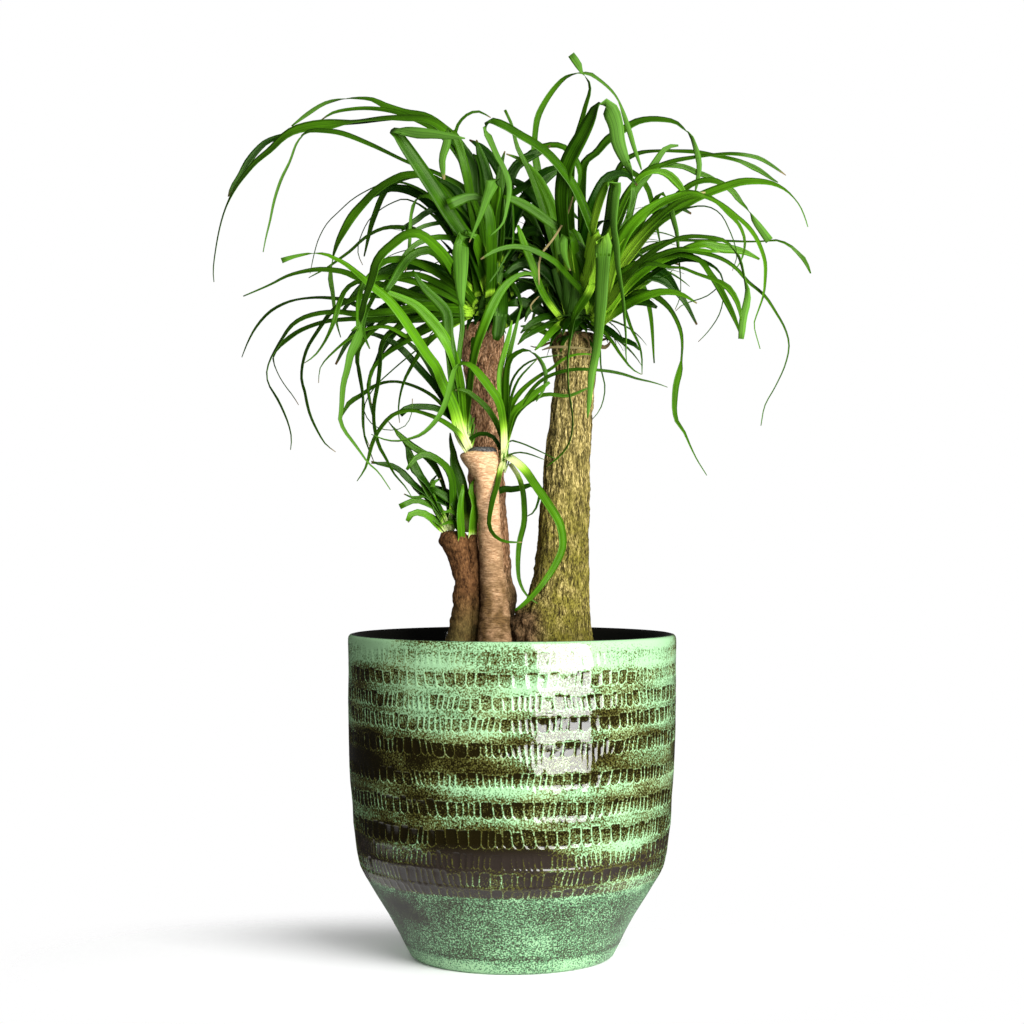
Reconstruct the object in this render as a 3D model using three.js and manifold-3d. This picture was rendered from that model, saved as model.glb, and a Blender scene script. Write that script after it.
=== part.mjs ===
// A potted ponytail palm: glazed ceramic pot, nursery pot, soil, four stems,
// five growing points and the leaves that come out of them.
// Millimetres, +Z up, origin at the middle of the pot's underside, front towards -Y.
import * as THREE from "three";
import { mergeVertices } from "three/addons/utils/BufferGeometryUtils.js";
import ManifoldModule from "manifold-3d";

const wasm = await ManifoldModule();
wasm.setup();

// ---- driving dimensions ----
const POT_RADIUS = 115;
const POT_HEIGHT = 225;
const POT_WALL = 7;
const POT_FLOOR = 9;
const FOOT_RADIUS = 69.5;
const POT_SIDES = 56;

const GAP = 0.3;
const GROW_POT_TOP = 203;
const GROW_POT_RIM_RADIUS = 95;
const GROW_POT_FLOOR_RADIUS = 61;
const GROW_POT_WALL = 1.6;
const DRAIN_HOLES = 6;
const DRAIN_HOLE_RADIUS = 5;
const DRAIN_HOLE_CIRCLE = 42;
const GROW_POT_SIDES = 40;

const SOIL_TOP = 196;
const STEM_SIDES = 18;

const HEART_SIDES = 16;
const LEAF_THICKNESS = 1;
const LEAF_STATIONS = 13;
const EYE_DISTANCE = 1400;
const EYE_HEIGHT = 292;

// ---- materials ----
const surface = (color, roughness, metalness = 0) =>
  new THREE.MeshStandardMaterial({ color, roughness, metalness });
const glaze = surface(0x5f8f5c, 0.15);
const blackPlastic = surface(0x1c1c1c, 0.5);
const darkSoil = surface(0x2e231a, 0.95);
const greyBark = surface(0x84704a, 0.9);
const brownBark = surface(0x6e5040, 0.9);
const tanBark = surface(0xcaa174, 0.8);
const paleLeafBase = surface(0xb9cf6a, 0.5);
const deepLeaf = surface(0x2f6a1c, 0.35);
const brightLeaf = surface(0x579a2c, 0.35);

const group = new THREE.Group();

function addMesh(name, geometry, material) {
  const mesh = new THREE.Mesh(geometry, material);
  mesh.name = name;
  group.add(mesh);
  return mesh;
}

// ---- turned pieces ----
// A profile lists [radius, height] from the axis round to the axis again.
function turned(profile, sides, x = 0, y = 0) {
  const points = profile.map(([radius, height]) => new THREE.Vector2(radius, height));
  const geometry = new THREE.LatheGeometry(points, sides);
  geometry.rotateX(Math.PI / 2);
  geometry.translate(x, y, 0);
  return geometry;
}

const potOutside = [
  [FOOT_RADIUS, 0],
  [73.6, 5.3],
  [83, 23.6],
  [91.3, 37.6],
  [99.7, 51.6],
  [104.8, 60],
  [108.7, 73],
  [111.7, 101],
  [114, 136],
  [POT_RADIUS - 0.2, 178],
  [POT_RADIUS, 219],
  [POT_RADIUS - 1.2, 224],
  [POT_RADIUS - 3.5, POT_HEIGHT],
];
const potInside = [
  [POT_RADIUS - POT_WALL + 1.4, POT_HEIGHT - 0.6],
  [POT_RADIUS - POT_WALL, POT_HEIGHT - 5],
  [POT_RADIUS - POT_WALL, 178],
  [114 - POT_WALL, 136],
  [111 - POT_WALL - 1, 100],
  [108.7 - POT_WALL - 3, 73],
  [104.8 - POT_WALL - 4, 60],
  [70, 15],
  [64, POT_FLOOR],
];
const potProfile = [[0, 0], ...potOutside, ...potInside, [0, POT_FLOOR]];
addMesh("glazed_pot", turned(potProfile, POT_SIDES), glaze);

const growPotBottom = POT_FLOOR + GAP;
const growPotFloorTop = growPotBottom + GROW_POT_WALL;
const growPotProfile = [
  [0, growPotBottom],
  [GROW_POT_FLOOR_RADIUS, growPotBottom],
  [GROW_POT_RIM_RADIUS - 4, GROW_POT_TOP - 8],
  [GROW_POT_RIM_RADIUS, GROW_POT_TOP - 8],
  [GROW_POT_RIM_RADIUS, GROW_POT_TOP],
  [GROW_POT_RIM_RADIUS - 4 - GROW_POT_WALL, GROW_POT_TOP],
  [GROW_POT_RIM_RADIUS - 4 - GROW_POT_WALL, GROW_POT_TOP - 8],
  [GROW_POT_FLOOR_RADIUS - GROW_POT_WALL, growPotFloorTop],
  [0, growPotFloorTop],
];

// ---- joining and cutting closed meshes ----
function toSolid(geometry) {
  const bare = geometry.index ? geometry.toNonIndexed() : geometry.clone();
  bare.deleteAttribute("normal");
  bare.deleteAttribute("uv");
  const merged = mergeVertices(bare, 1e-4);
  const mesh = new wasm.Mesh({
    numProp: 3,
    vertProperties: new Float32Array(merged.attributes.position.array),
    triVerts: new Uint32Array(merged.index.array),
  });
  return new wasm.Manifold(mesh);
}

function toGeometry(solid) {
  const { vertProperties, triVerts, numProp } = solid.getMesh();
  const places = new Float32Array((vertProperties.length / numProp) * 3);
  for (let i = 0; i < places.length / 3; i += 1) {
    places.set(vertProperties.subarray(i * numProp, i * numProp + 3), i * 3);
  }
  const geometry = new THREE.BufferGeometry();
  geometry.setAttribute("position", new THREE.BufferAttribute(places, 3));
  geometry.setIndex(new THREE.BufferAttribute(new Uint32Array(triVerts), 1));
  geometry.computeVertexNormals();
  return geometry;
}

let growPotSolid = toSolid(turned(growPotProfile, GROW_POT_SIDES));
for (let i = 0; i < DRAIN_HOLES; i += 1) {
  const angle = (i * 2 * Math.PI) / DRAIN_HOLES;
  const drill = new THREE.CylinderGeometry(DRAIN_HOLE_RADIUS, DRAIN_HOLE_RADIUS, 12, 8);
  drill.rotateX(Math.PI / 2);
  drill.translate(DRAIN_HOLE_CIRCLE * Math.cos(angle), DRAIN_HOLE_CIRCLE * Math.sin(angle), growPotBottom);
  growPotSolid = growPotSolid.subtract(toSolid(drill));
}
addMesh("nursery_pot", toGeometry(growPotSolid), blackPlastic);

// ---- a closed skin over rings of points, with a flat cap at each end ----
function skin(rings) {
  const sides = rings[0].length;
  const places = [];
  const faces = [];
  rings.forEach((ring) => ring.forEach((point) => places.push(point.x, point.y, point.z)));
  for (let r = 0; r + 1 < rings.length; r += 1) {
    for (let s = 0; s < sides; s += 1) {
      const a = r * sides + s;
      const b = r * sides + ((s + 1) % sides);
      faces.push(a, b, b + sides, a, b + sides, a + sides);
    }
  }
  const last = (rings.length - 1) * sides;
  for (let s = 1; s + 1 < sides; s += 1) {
    faces.push(0, s + 1, s, last, last + s, last + s + 1);
  }
  const geometry = new THREE.BufferGeometry();
  geometry.setAttribute("position", new THREE.Float32BufferAttribute(places, 3));
  geometry.setIndex(faces);
  geometry.computeVertexNormals();
  return geometry;
}

// ---- stems ----
// Each row is [height, left edge, right edge, middle depth]; depth is to the back.
// `roundness` is the stem's depth divided by its width.
const stems = {
  main_trunk: {
    bark: greyBark,
    roundness: 0.86,
    rows: [
      [132, 22, 36, 2],
      [142, 8, 50, 2],
      [160, 0, 58, 1],
      [185, -2, 60, 0],
      [210, -1, 58, 0],
      [224, 1, 56, 0],
      [238, 7, 54.8, 0],
      [250, 11, 54.4, 1],
      [281, 17, 53.4, 2],
      [328, 22.3, 54.4, 3],
      [375, 27, 56, 4],
      [409, 30.2, 59, 4],
      [425, 28, 60.2, 4],
      [437, 30, 58, 4],
    ],
  },
  rear_trunk: {
    bark: brownBark,
    roundness: 0.95,
    rows: [
      [140, -26, -14, 30],
      [150, -34, -6, 30],
      [175, -38, -4, 29],
      [205, -35, -2, 28],
      [228, -31, 1, 26],
      [250, -28, 3, 23],
      [266, -28.5, 0, 21],
      [300, -30.5, -3, 19],
      [340, -31.5, -5.7, 17],
      [368, -31.4, -8.5, 16],
      [400, -33, -6.6, 16],
      [427, -37, -4.6, 16],
      [440, -36, -5, 16],
      [446, -30, -10, 16],
    ],
  },
  front_stump: {
    bark: tanBark,
    roundness: 0.95,
    rows: [
      [150, -18, -4, -26],
      [160, -23, 1, -26],
      [195, -22, -1, -25],
      [225, -17.5, -1, -24],
      [245, -16, -1.8, -23],
      [266, -20.2, -4.7, -22],
      [297, -24.9, -7.8, -22],
      [331, -26.4, -9.3, -22],
      [340, -31, -9.6, -22],
      [348, -36, -9.8, -22],
      [352, -35, -10.5, -22],
    ],
  },
  left_stump: {
    bark: brownBark,
    roundness: 0.95,
    rows: [
      [155, -48, -34, -14],
      [166, -54, -29, -14],
      [195, -50, -27, -15],
      [221, -46, -26.5, -16],
      [240, -42, -26, -16],
      [261, -40.4, -24.6, -16],
      [271, -42, -27.4, -16],
      [282, -46, -28, -16],
      [291, -50, -29, -16],
      [297, -47, -33, -16],
    ],
  },
};

function stemRings({ rows, roundness }, clearance) {
  return rows.map(([height, left, right, depth]) => {
    const middle = (left + right) / 2;
    const halfWidth = (right - left) / 2 + clearance;
    const halfDepth = ((right - left) / 2) * roundness + clearance;
    const ring = [];
    for (let s = 0; s < STEM_SIDES; s += 1) {
      const angle = (s * 2 * Math.PI) / STEM_SIDES;
      const x = middle + halfWidth * Math.cos(angle);
      const y = depth + halfDepth * Math.sin(angle);
      ring.push(new THREE.Vector3(x, y, height));
    }
    return ring;
  });
}

Object.entries(stems).forEach(([name, stem]) => addMesh(name, skin(stemRings(stem, 0)), stem.bark));

// ---- soil: fills the nursery pot and leaves a socket round the foot of each stem ----
const soilBottom = growPotFloorTop + GAP;
const rimSlope = (GROW_POT_RIM_RADIUS - 4 - GROW_POT_FLOOR_RADIUS) / (GROW_POT_TOP - 8 - growPotBottom);
const soilRadiusAt = (height) =>
  GROW_POT_FLOOR_RADIUS - GROW_POT_WALL - 2 * GAP + rimSlope * (height - growPotFloorTop);
const soilProfile = [
  [0, soilBottom],
  [soilRadiusAt(soilBottom), soilBottom],
  [soilRadiusAt(SOIL_TOP - 8), SOIL_TOP - 8],
  [78, SOIL_TOP - 2],
  [40, SOIL_TOP + 1],
  [0, SOIL_TOP + 2],
];
let soilSolid = toSolid(turned(soilProfile, GROW_POT_SIDES));
Object.values(stems).forEach((stem) => {
  const foot = stemRings(stem, GAP);
  const under = foot[0].map((point) => point.clone().setZ(point.z - GAP));
  soilSolid = soilSolid.subtract(toSolid(skin([under, ...foot])));
});
addMesh("potting_soil", toGeometry(soilSolid), darkSoil);

// ---- growing points: tight bundles of leaf bases standing on the stems ----
const hearts = {
  main_crown_heart: { x: 44, y: 4, bottom: 437, profile: [[11, 0], [14, 8], [13.5, 20], [9, 38], [3, 52]] },
  rear_crown_heart: { x: -20, y: 16, bottom: 446, profile: [[8, 0], [11.5, 8], [11, 20], [7, 36], [2.5, 48]] },
  left_shoot_heart: { x: -30.5, y: -22, bottom: 352, profile: [[3.5, 0], [4.6, 5], [4.2, 14], [1.6, 26]] },
  right_shoot_heart: { x: -5.6, y: -22, bottom: 339, profile: [[2.2, 0], [3.8, 5], [3.6, 12], [1.4, 24]] },
  left_sprout_heart: { x: -42.5, y: -16, bottom: 297, profile: [[3, 0], [4.2, 4], [3.8, 12], [1.5, 20]] },
};
Object.entries(hearts).forEach(([name, heart]) => {
  const base = heart.bottom + GAP;
  const wall = heart.profile.map(([radius, rise]) => [radius, base + rise]);
  const top = wall[wall.length - 1][1];
  addMesh(name, turned([[0, base], ...wall, [0, top]], HEART_SIDES, heart.x, heart.y), paleLeafBase);
});

function heartRadius({ bottom, profile }, height) {
  const rise = height - bottom - GAP;
  for (let i = 0; i + 1 < profile.length; i += 1) {
    const [r0, h0] = profile[i];
    const [r1, h1] = profile[i + 1];
    if (rise <= h1) {
      return THREE.MathUtils.lerp(r0, r1, THREE.MathUtils.clamp((rise - h0) / (h1 - h0), 0, 1));
    }
  }
  return profile[profile.length - 1][0];
}

// ---- leaves ----
// A route lists [x, z, y]: where a point is seen from the front, on the plane of the
// pot's axis, and its real depth y. The eye is EYE_DISTANCE in front, EYE_HEIGHT up.
function atDepth([x, z, y]) {
  const nearness = (EYE_DISTANCE + y) / EYE_DISTANCE;
  return new THREE.Vector3(x * nearness, y, EYE_HEIGHT + (z - EYE_HEIGHT) * nearness);
}

// The leaf starts on its heart, `seat` high, on the side that faces its route.
function leafStart(heart, seat, firstPoint) {
  const outward = new THREE.Vector3(firstPoint.x - heart.x, firstPoint.y - heart.y, 0).normalize();
  const reach = heartRadius(heart, seat) + GAP + LEAF_THICKNESS / 2;
  return new THREE.Vector3(heart.x, heart.y, seat).addScaledVector(outward, reach);
}

// Width along the leaf as a share of its full width: a narrowed base and a long point.
function widthShare(t, tip) {
  const base = 0.62 + 0.38 * Math.min(1, t / 0.2);
  const taper = t < 0.45 ? 1 : 1 - (1 - tip) * ((t - 0.45) / 0.55) ** 1.3;
  return base * taper;
}

// The upper face looks up and away from the stem; `facing` turns it to the front (1)
// or to the back (-1).
function leafGeometry({ heart, seat, width, facing = 0.5, tip = 0.15, route }) {
  const seen = route.map(atDepth);
  const start = leafStart(heart, seat, seen[0]);
  const curve = new THREE.CatmullRomCurve3([start, ...seen], false, "centripetal");
  const outward = new THREE.Vector3(start.x - heart.x, start.y - heart.y, 0).normalize();
  const middle = curve.getPointAt(0.6);
  const lean = new THREE.Vector3(middle.x - heart.x, middle.y - heart.y, 0).normalize();
  const up = new THREE.Vector3(0, 0, 1);
  const front = new THREE.Vector3(0, -1, 0);
  const rings = [];
  for (let i = 0; i <= LEAF_STATIONS; i += 1) {
    const t = i / LEAF_STATIONS;
    const centre = curve.getPointAt(t);
    const along = curve.getTangentAt(t);
    const away = outward.clone().lerp(lean, Math.min(1, t / 0.3)).normalize();
    const face = away.clone().multiplyScalar(-along.dot(up)).addScaledVector(up, along.dot(away));
    face.addScaledVector(along, -face.dot(along)).normalize();
    const turn = facing * Math.min(1, t / 0.25);
    face.multiplyScalar(Math.sqrt(1 - turn * turn)).addScaledVector(front, turn);
    face.addScaledVector(along, -face.dot(along)).normalize();
    const side = along.clone().cross(face);
    const halfWidth = (width / 2) * widthShare(t, tip);
    const halfThick = (LEAF_THICKNESS / 2) * (t > 0.97 ? 0.6 : 1);
    const corner = (u, v) =>
      centre.clone().addScaledVector(side, u * halfWidth).addScaledVector(face, v * halfThick);
    rings.push([corner(1, 1), corner(1, -1), corner(-1, -1), corner(-1, 1)]);
  }
  return skin(rings);
}

const { main_crown_heart: mainHeart, rear_crown_heart: rearHeart } = hearts;
const { left_shoot_heart: leftHeart, right_shoot_heart: rightHeart, left_sprout_heart: sproutHeart } = hearts;

const mainLeaves = [
  { seat: 470, width: 6, route: [[27, 492, 24], [18, 551, 30], [23, 601, 34], [47, 620, 32], [76, 599, 28], [91, 551, 24]] },
  { seat: 476, width: 7, route: [[42, 520, 8], [44, 565, 12], [53, 600, 14], [50, 619, 14], [42, 632, 12]], tip: 0.7 },
  { seat: 466, width: 12, facing: 0.8,
    route: [[37, 515, -24], [40, 556, -40], [54, 585, -55], [68, 590, -66], [76, 566, -72], [85, 536, -74], [80, 517, -72]] },
  { seat: 472, width: 9, route: [[56, 510, 20], [55, 556, 30], [79, 580, 42], [110, 586, 50], [131, 557, 54], [128, 536, 54]] },
  { seat: 462, width: 9, route: [[70, 520, 28], [84, 558, 58], [117, 566, 82], [160, 558, 100], [187, 542, 106]] },
  { seat: 458, width: 10, facing: 0.65,
    route: [[72, 474, -6], [104, 514, -12], [131, 531, -16], [161, 542, -20], [192, 537, -24], [208, 511, -28]] },
  { seat: 452, width: 10, facing: 0.6,
    route: [[70, 474, -16], [91, 516, -48], [125, 534, -64], [157, 519, -76], [177, 485, -82], [174, 425, -84]] },
  { seat: 448, width: 9, route: [[72, 468, -44], [100, 487, -82], [130, 478, -112], [151, 469, -126], [161, 445, -134]] },
  { seat: 450, width: 10, route: [[76, 458, 16], [100, 478, 36], [125, 496, 52], [155, 496, 66], [174, 488, 74]] },
  { seat: 456, width: 9, route: [[76, 480, 44], [110, 502, 84], [160, 504, 108], [196, 497, 118], [210, 478, 122]] },
  { seat: 443, width: 9, route: [[80, 476, -24], [125, 493, -58], [165, 473, -74], [192, 438, -80], [189, 404, -82], [175, 371, -82]] },
  { seat: 443, width: 8, route: [[70, 452, -4], [88, 464, -20], [108, 455, -42], [118, 425, -48], [114, 385, -52], [137, 336, -54]] },
  { seat: 468, width: 8, facing: 0.75,
    route: [[58, 515, -30], [70, 542, -58], [73, 510, -78], [74, 475, -84], [79, 440, -86], [80, 417, -86]] },
  { seat: 460, width: 11, facing: 0.9, tip: 0.3,
    route: [[55, 492, -36], [63, 504, -56], [63, 470, -68], [60, 430, -72], [56, 400, -72], [53, 377, -70]] },
  { seat: 446, width: 6, route: [[48, 462, -42], [42, 440, -54], [40, 405, -56], [43, 375, -54], [24, 342, -50]] },
  { seat: 464, width: 9, facing: 0.75,
    route: [[48, 500, -28], [44, 538, -46], [16, 568, -56], [-12, 585, -64], [-14, 566, -76], [-3, 536, -82], [-14, 507, -84]] },
  { seat: 474, width: 8, facing: -0.6, route: [[68, 508, 14], [88, 540, 34], [104, 560, 52], [118, 567, 62]], tip: 0.4 },
  { seat: 458, width: 9, facing: -0.4,
    route: [[80, 480, -50], [118, 502, -92], [150, 498, -116], [164, 468, -124], [161, 432, -126]] },
  { seat: 470, width: 10, facing: 0, route: [[56, 515, 62], [76, 548, 110], [94, 540, 156], [104, 500, 182]] },
  { seat: 462, width: 10, facing: 0, route: [[38, 524, 54], [44, 560, 108], [38, 555, 152], [34, 500, 184]] },
  { seat: 454, width: 9, facing: 0, route: [[62, 478, 56], [82, 486, 104], [96, 458, 142], [100, 415, 160]] },
];

const rearLeaves = [
  { seat: 474, width: 11, facing: 0.45,
    route: [[-31, 530, 22], [-38, 568, 18], [-75, 587, 4], [-128, 584, -6], [-178, 560, -14], [-204, 518, -22], [-210, 472, -28]] },
  { seat: 482, width: 8, route: [[-24, 540, 42], [-45, 580, 52], [-90, 597, 60], [-133, 597, 66], [-155, 582, 70]] },
  { seat: 478, width: 9, route: [[-30, 535, -4], [-70, 556, -22], [-120, 577, -38], [-150, 571, -48], [-167, 529, -56], [-175, 493, -60]] },
  { seat: 464, width: 12, facing: 0.8,
    route: [[-34, 500, -8], [-45, 522, -30], [-64, 550, -46], [-84, 577, -60], [-62, 578, -72], [-34, 572, -80]], tip: 0.4 },
  { seat: 474, width: 9, route: [[-40, 520, 10], [-66, 548, 4], [-98, 533, 0], [-122, 500, -2], [-127, 470, -2], [-120, 433, 0]] },
  { seat: 462, width: 8, route: [[-42, 486, 22], [-75, 508, 36], [-106, 500, 46], [-129, 482, 52], [-143, 475, 54]] },
  { seat: 460, width: 10,
    route: [[-46, 486, -34], [-72, 506, -80], [-98, 476, -98], [-108, 435, -104], [-120, 380, -104], [-103, 348, -100], [-86, 326, -96]] },
  { seat: 470, width: 12, facing: 0.9, route: [[-20, 500, -24], [-33, 500, -44], [-37, 476, -52], [-35, 456, -54]], tip: 0.7 },
  { seat: 486, width: 7, route: [[-6, 530, 28], [12, 562, 36], [34, 566, 40], [48, 548, 38], [36, 512, 32], [19, 476, 28]] },
  { seat: 456, width: 8, route: [[-50, 458, 2], [-95, 471, -10], [-136, 481, -20], [-165, 472, -26], [-189, 462, -30]] },
  { seat: 452, width: 8, route: [[-52, 448, 34], [-92, 448, 56], [-137, 461, 70], [-172, 450, 80], [-190, 419, 86]] },
  { seat: 454, width: 9,
    route: [[-46, 452, -34], [-100, 451, -54], [-140, 448, -66], [-168, 420, -74], [-165, 390, -78], [-155, 354, -80]] },
  { seat: 474, width: 10, facing: 0, route: [[-30, 510, 62], [-60, 545, 104], [-90, 536, 138], [-104, 490, 164]] },
  { seat: 478, width: 10, facing: 0, route: [[-20, 520, 62], [-24, 560, 118], [-30, 545, 162], [-32, 495, 188]] },
  { seat: 464, width: 9, facing: 0, route: [[-4, 505, 54], [12, 520, 98], [18, 490, 138], [20, 440, 156]] },
];

const shootLeaves = {
  left_shoot_leaf: {
    heart: leftHeart,
    leaves: [
      { seat: 366, width: 9, facing: 0.65, tip: 0.3,
        route: [[-41, 378, -28], [-54, 412, -50], [-79, 449, -68], [-108, 477, -80], [-137, 492, -84], [-162, 487, -86]] },
      { seat: 362, width: 6, route: [[-38, 378, -14], [-62, 396, -6], [-90, 402, 2], [-112, 389, 8], [-120, 378, 10]] },
      { seat: 358, width: 7, route: [[-38, 364, -36], [-62, 380, -58], [-86, 378, -72], [-99, 356, -80], [-109, 332, -84]] },
      { seat: 370, width: 8, route: [[-26, 388, -26], [-25, 425, -34], [-13, 456, -36], [6, 479, -34], [20, 466, -32]] },
      { seat: 366, width: 9, facing: 0.8, tip: 0.4, route: [[-29, 384, -36], [-43, 430, -48], [-52, 458, -56], [-70, 480, -62]] },
    ],
  },
  right_shoot_leaf: {
    heart: rightHeart,
    leaves: [
      { seat: 356, width: 6, route: [[-1, 374, -24], [-3, 412, -26], [10, 424, -32], [22, 412, -36], [17, 388, -38]] },
      { seat: 352, width: 8, facing: 0.7,
        route: [[-10, 372, -38], [-18, 398, -52], [-34, 412, -64], [-46, 388, -74], [-66, 363, -80], [-99, 365, -84]] },
      { seat: 347, width: 8, facing: 0.8,
        route: [[4, 350, -32], [15, 330, -40], [28, 311, -44], [35, 288, -46], [26, 266, -46], [4, 242, -44]] },
      { seat: 343, width: 6, route: [[3, 338, -22], [9, 310, -24], [5, 282, -26], [7, 258, -28], [18, 246, -30]] },
    ],
  },
  left_sprout_leaf: {
    heart: sproutHeart,
    leaves: [
      { seat: 304, width: 7, route: [[-52, 312, -22], [-62, 326, -28], [-69, 346, -32], [-80, 365, -36]], tip: 0.5 },
      { seat: 307, width: 7, route: [[-43, 320, -24], [-48, 340, -34], [-61, 351, -42], [-74, 340, -48]], tip: 0.5 },
    ],
  },
};

function addLeaves(prefix, heart, leaves) {
  leaves.forEach((leaf, index) => {
    const name = `${prefix}_${String(index + 1).padStart(2, "0")}`;
    const green = (leaf.facing ?? 0.5) < 0.6 ? deepLeaf : brightLeaf;
    addMesh(name, leafGeometry({ ...leaf, heart }), green);
  });
}

addLeaves("main_crown_leaf", mainHeart, mainLeaves);
addLeaves("rear_crown_leaf", rearHeart, rearLeaves);
Object.entries(shootLeaves).forEach(([prefix, { heart, leaves }]) => addLeaves(prefix, heart, leaves));

export default group;
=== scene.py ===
import math
import random

import bmesh
import bpy
import numpy as np
from mathutils import Matrix, Vector, noise


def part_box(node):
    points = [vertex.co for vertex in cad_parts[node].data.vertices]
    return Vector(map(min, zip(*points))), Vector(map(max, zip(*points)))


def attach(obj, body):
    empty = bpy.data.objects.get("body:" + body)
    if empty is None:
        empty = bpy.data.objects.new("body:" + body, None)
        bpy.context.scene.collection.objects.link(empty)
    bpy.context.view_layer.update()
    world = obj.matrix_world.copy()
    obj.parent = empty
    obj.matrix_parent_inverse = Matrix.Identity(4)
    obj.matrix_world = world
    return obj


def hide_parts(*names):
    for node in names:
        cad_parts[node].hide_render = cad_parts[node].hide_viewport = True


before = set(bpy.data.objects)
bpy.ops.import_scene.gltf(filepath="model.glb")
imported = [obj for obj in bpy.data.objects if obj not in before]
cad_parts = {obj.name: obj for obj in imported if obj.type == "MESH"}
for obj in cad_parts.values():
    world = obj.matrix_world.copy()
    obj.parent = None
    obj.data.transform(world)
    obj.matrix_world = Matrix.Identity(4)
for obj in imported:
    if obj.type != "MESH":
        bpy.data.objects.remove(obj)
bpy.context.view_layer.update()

bl_info = {
    "name": "Potted ponytail palm",
    "version": (1, 0, 0),
    "blender": (4, 5, 0),
    "location": "View3D > Sidebar > Palm",
    "description": "Glazed pot, bark stems and strap leaves of a potted ponytail palm",
    "category": "Add Mesh",
}

MM = 0.001
POT_LOW, POT_HIGH = (Vector(corner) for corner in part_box("glazed_pot"))
POT_RADIUS = (POT_HIGH.x - POT_LOW.x) / 2
POT_HEIGHT = POT_HIGH.z

# ------------------------------------------------------------------ settings


class PALM_PG_pot(bpy.types.PropertyGroup):
    """Sizes and glaze of the pot."""

    radius: bpy.props.FloatProperty(
        name="Radius", description="Outer radius at the rim", default=POT_RADIUS, unit="LENGTH")
    height: bpy.props.FloatProperty(
        name="Height", description="Height of the rim", default=POT_HEIGHT, unit="LENGTH")
    mark_depth: bpy.props.FloatProperty(
        name="Mark depth", description="How deep the pressed marks are", default=0.00045, unit="LENGTH")
    mint: bpy.props.FloatVectorProperty(
        name="Mint", description="Glaze where it lies thick", subtype="COLOR", default=(0.136, 0.256, 0.124))
    olive: bpy.props.FloatVectorProperty(
        name="Olive", description="Glaze where it breaks thin", subtype="COLOR", default=(0.060, 0.058, 0.012))
    deep_green: bpy.props.FloatVectorProperty(
        name="Deep green", description="Thin glaze on the foot", subtype="COLOR", default=(0.024, 0.034, 0.016))
    dark: bpy.props.FloatVectorProperty(
        name="Dark", description="Darkest glaze, in the marks", subtype="COLOR", default=(0.0075, 0.0056, 0.0012))
    plum: bpy.props.FloatVectorProperty(
        name="Plum", description="Dark band above the foot", subtype="COLOR", default=(0.0200, 0.0150, 0.0120))


class PALM_PG_leaf(bpy.types.PropertyGroup):
    """Shape and colours of the leaves."""

    thickness: bpy.props.FloatProperty(
        name="Thickness", description="Blade thickness at the midrib", default=0.00045, unit="LENGTH")
    channel: bpy.props.FloatProperty(
        name="Channel", description="Depth of the V section as a share of half the width", default=0.3)
    # Deep and bright are mixed by each leaf's tone, which carries painted light and shade as well as the blade's age.
    deep: bpy.props.FloatVectorProperty(
        name="Deep green", description="Old blades", subtype="COLOR", default=(0.0032, 0.0215, 0.0003))
    bright: bpy.props.FloatVectorProperty(
        name="Bright green", description="Young blades", subtype="COLOR", default=(0.054, 0.162, 0.003))
    under: bpy.props.FloatVectorProperty(
        name="Underside", description="Dull lower face", subtype="COLOR", default=(0.044, 0.112, 0.014))
    # The young green is partly painted light on lit leaf bases.
    young: bpy.props.FloatVectorProperty(
        name="Young green", description="Yellow-green of the youngest parts, near the base", subtype="COLOR",
        default=(0.250, 0.470, 0.026))
    pale: bpy.props.FloatVectorProperty(
        name="Pale base", description="Leaf bases", subtype="COLOR", default=(0.50, 0.57, 0.24))
    dry: bpy.props.FloatVectorProperty(
        name="Dry tip", description="Withered tips", subtype="COLOR", default=(0.150, 0.116, 0.050))


class PALM_PG_stage(bpy.types.PropertyGroup):
    """Floor, light and camera."""

    eye_distance: bpy.props.FloatProperty(
        name="Eye distance", description="From the pot's axis to the camera", default=1.4, unit="LENGTH")
    eye_height: bpy.props.FloatProperty(
        name="Eye height", description="Camera above the floor", default=0.292, unit="LENGTH")
    lens: bpy.props.FloatProperty(name="Lens", description="Focal length in mm", default=70.0)
    softbox_power: bpy.props.FloatProperty(
        name="Softbox", description="Power of the main light", default=60.0, unit="POWER")
    fill: bpy.props.FloatProperty(name="Fill", description="Brightness of the room round the object", default=0.44)
    floor_tone: bpy.props.FloatProperty(name="Floor tone", description="Reflectance of the floor", default=0.9)


# --------------------------------------------------------------- mesh helpers

def deselect():
    """Leave edit mode with nothing selected."""
    if bpy.context.object and bpy.context.object.mode != "OBJECT":
        bpy.ops.object.mode_set(mode="OBJECT")
    bpy.ops.object.select_all(action="DESELECT")


def start_editing(name):
    """Name the object just added, apply its place and open it in edit mode, all selected."""
    piece = bpy.context.object
    piece.name = name
    bpy.ops.object.transform_apply(location=True, rotation=True, scale=True)
    bpy.ops.object.mode_set(mode="EDIT")
    bpy.ops.mesh.select_all(action="SELECT")
    return piece


def end_editing():
    """Turn every face outwards and go back to object mode."""
    bpy.ops.mesh.select_all(action="SELECT")
    bpy.ops.mesh.normals_make_consistent(inside=False)
    bpy.ops.object.mode_set(mode="OBJECT")
    bpy.ops.object.shade_smooth()


def finish_piece(piece, slot, material, *replaced):
    """Give a piece its material, its body and the nodes it stands for; the slot is not used."""
    piece.data.materials.clear()
    piece.data.materials.append(material)
    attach(piece, "root")
    if replaced:
        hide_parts(*replaced)


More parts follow.
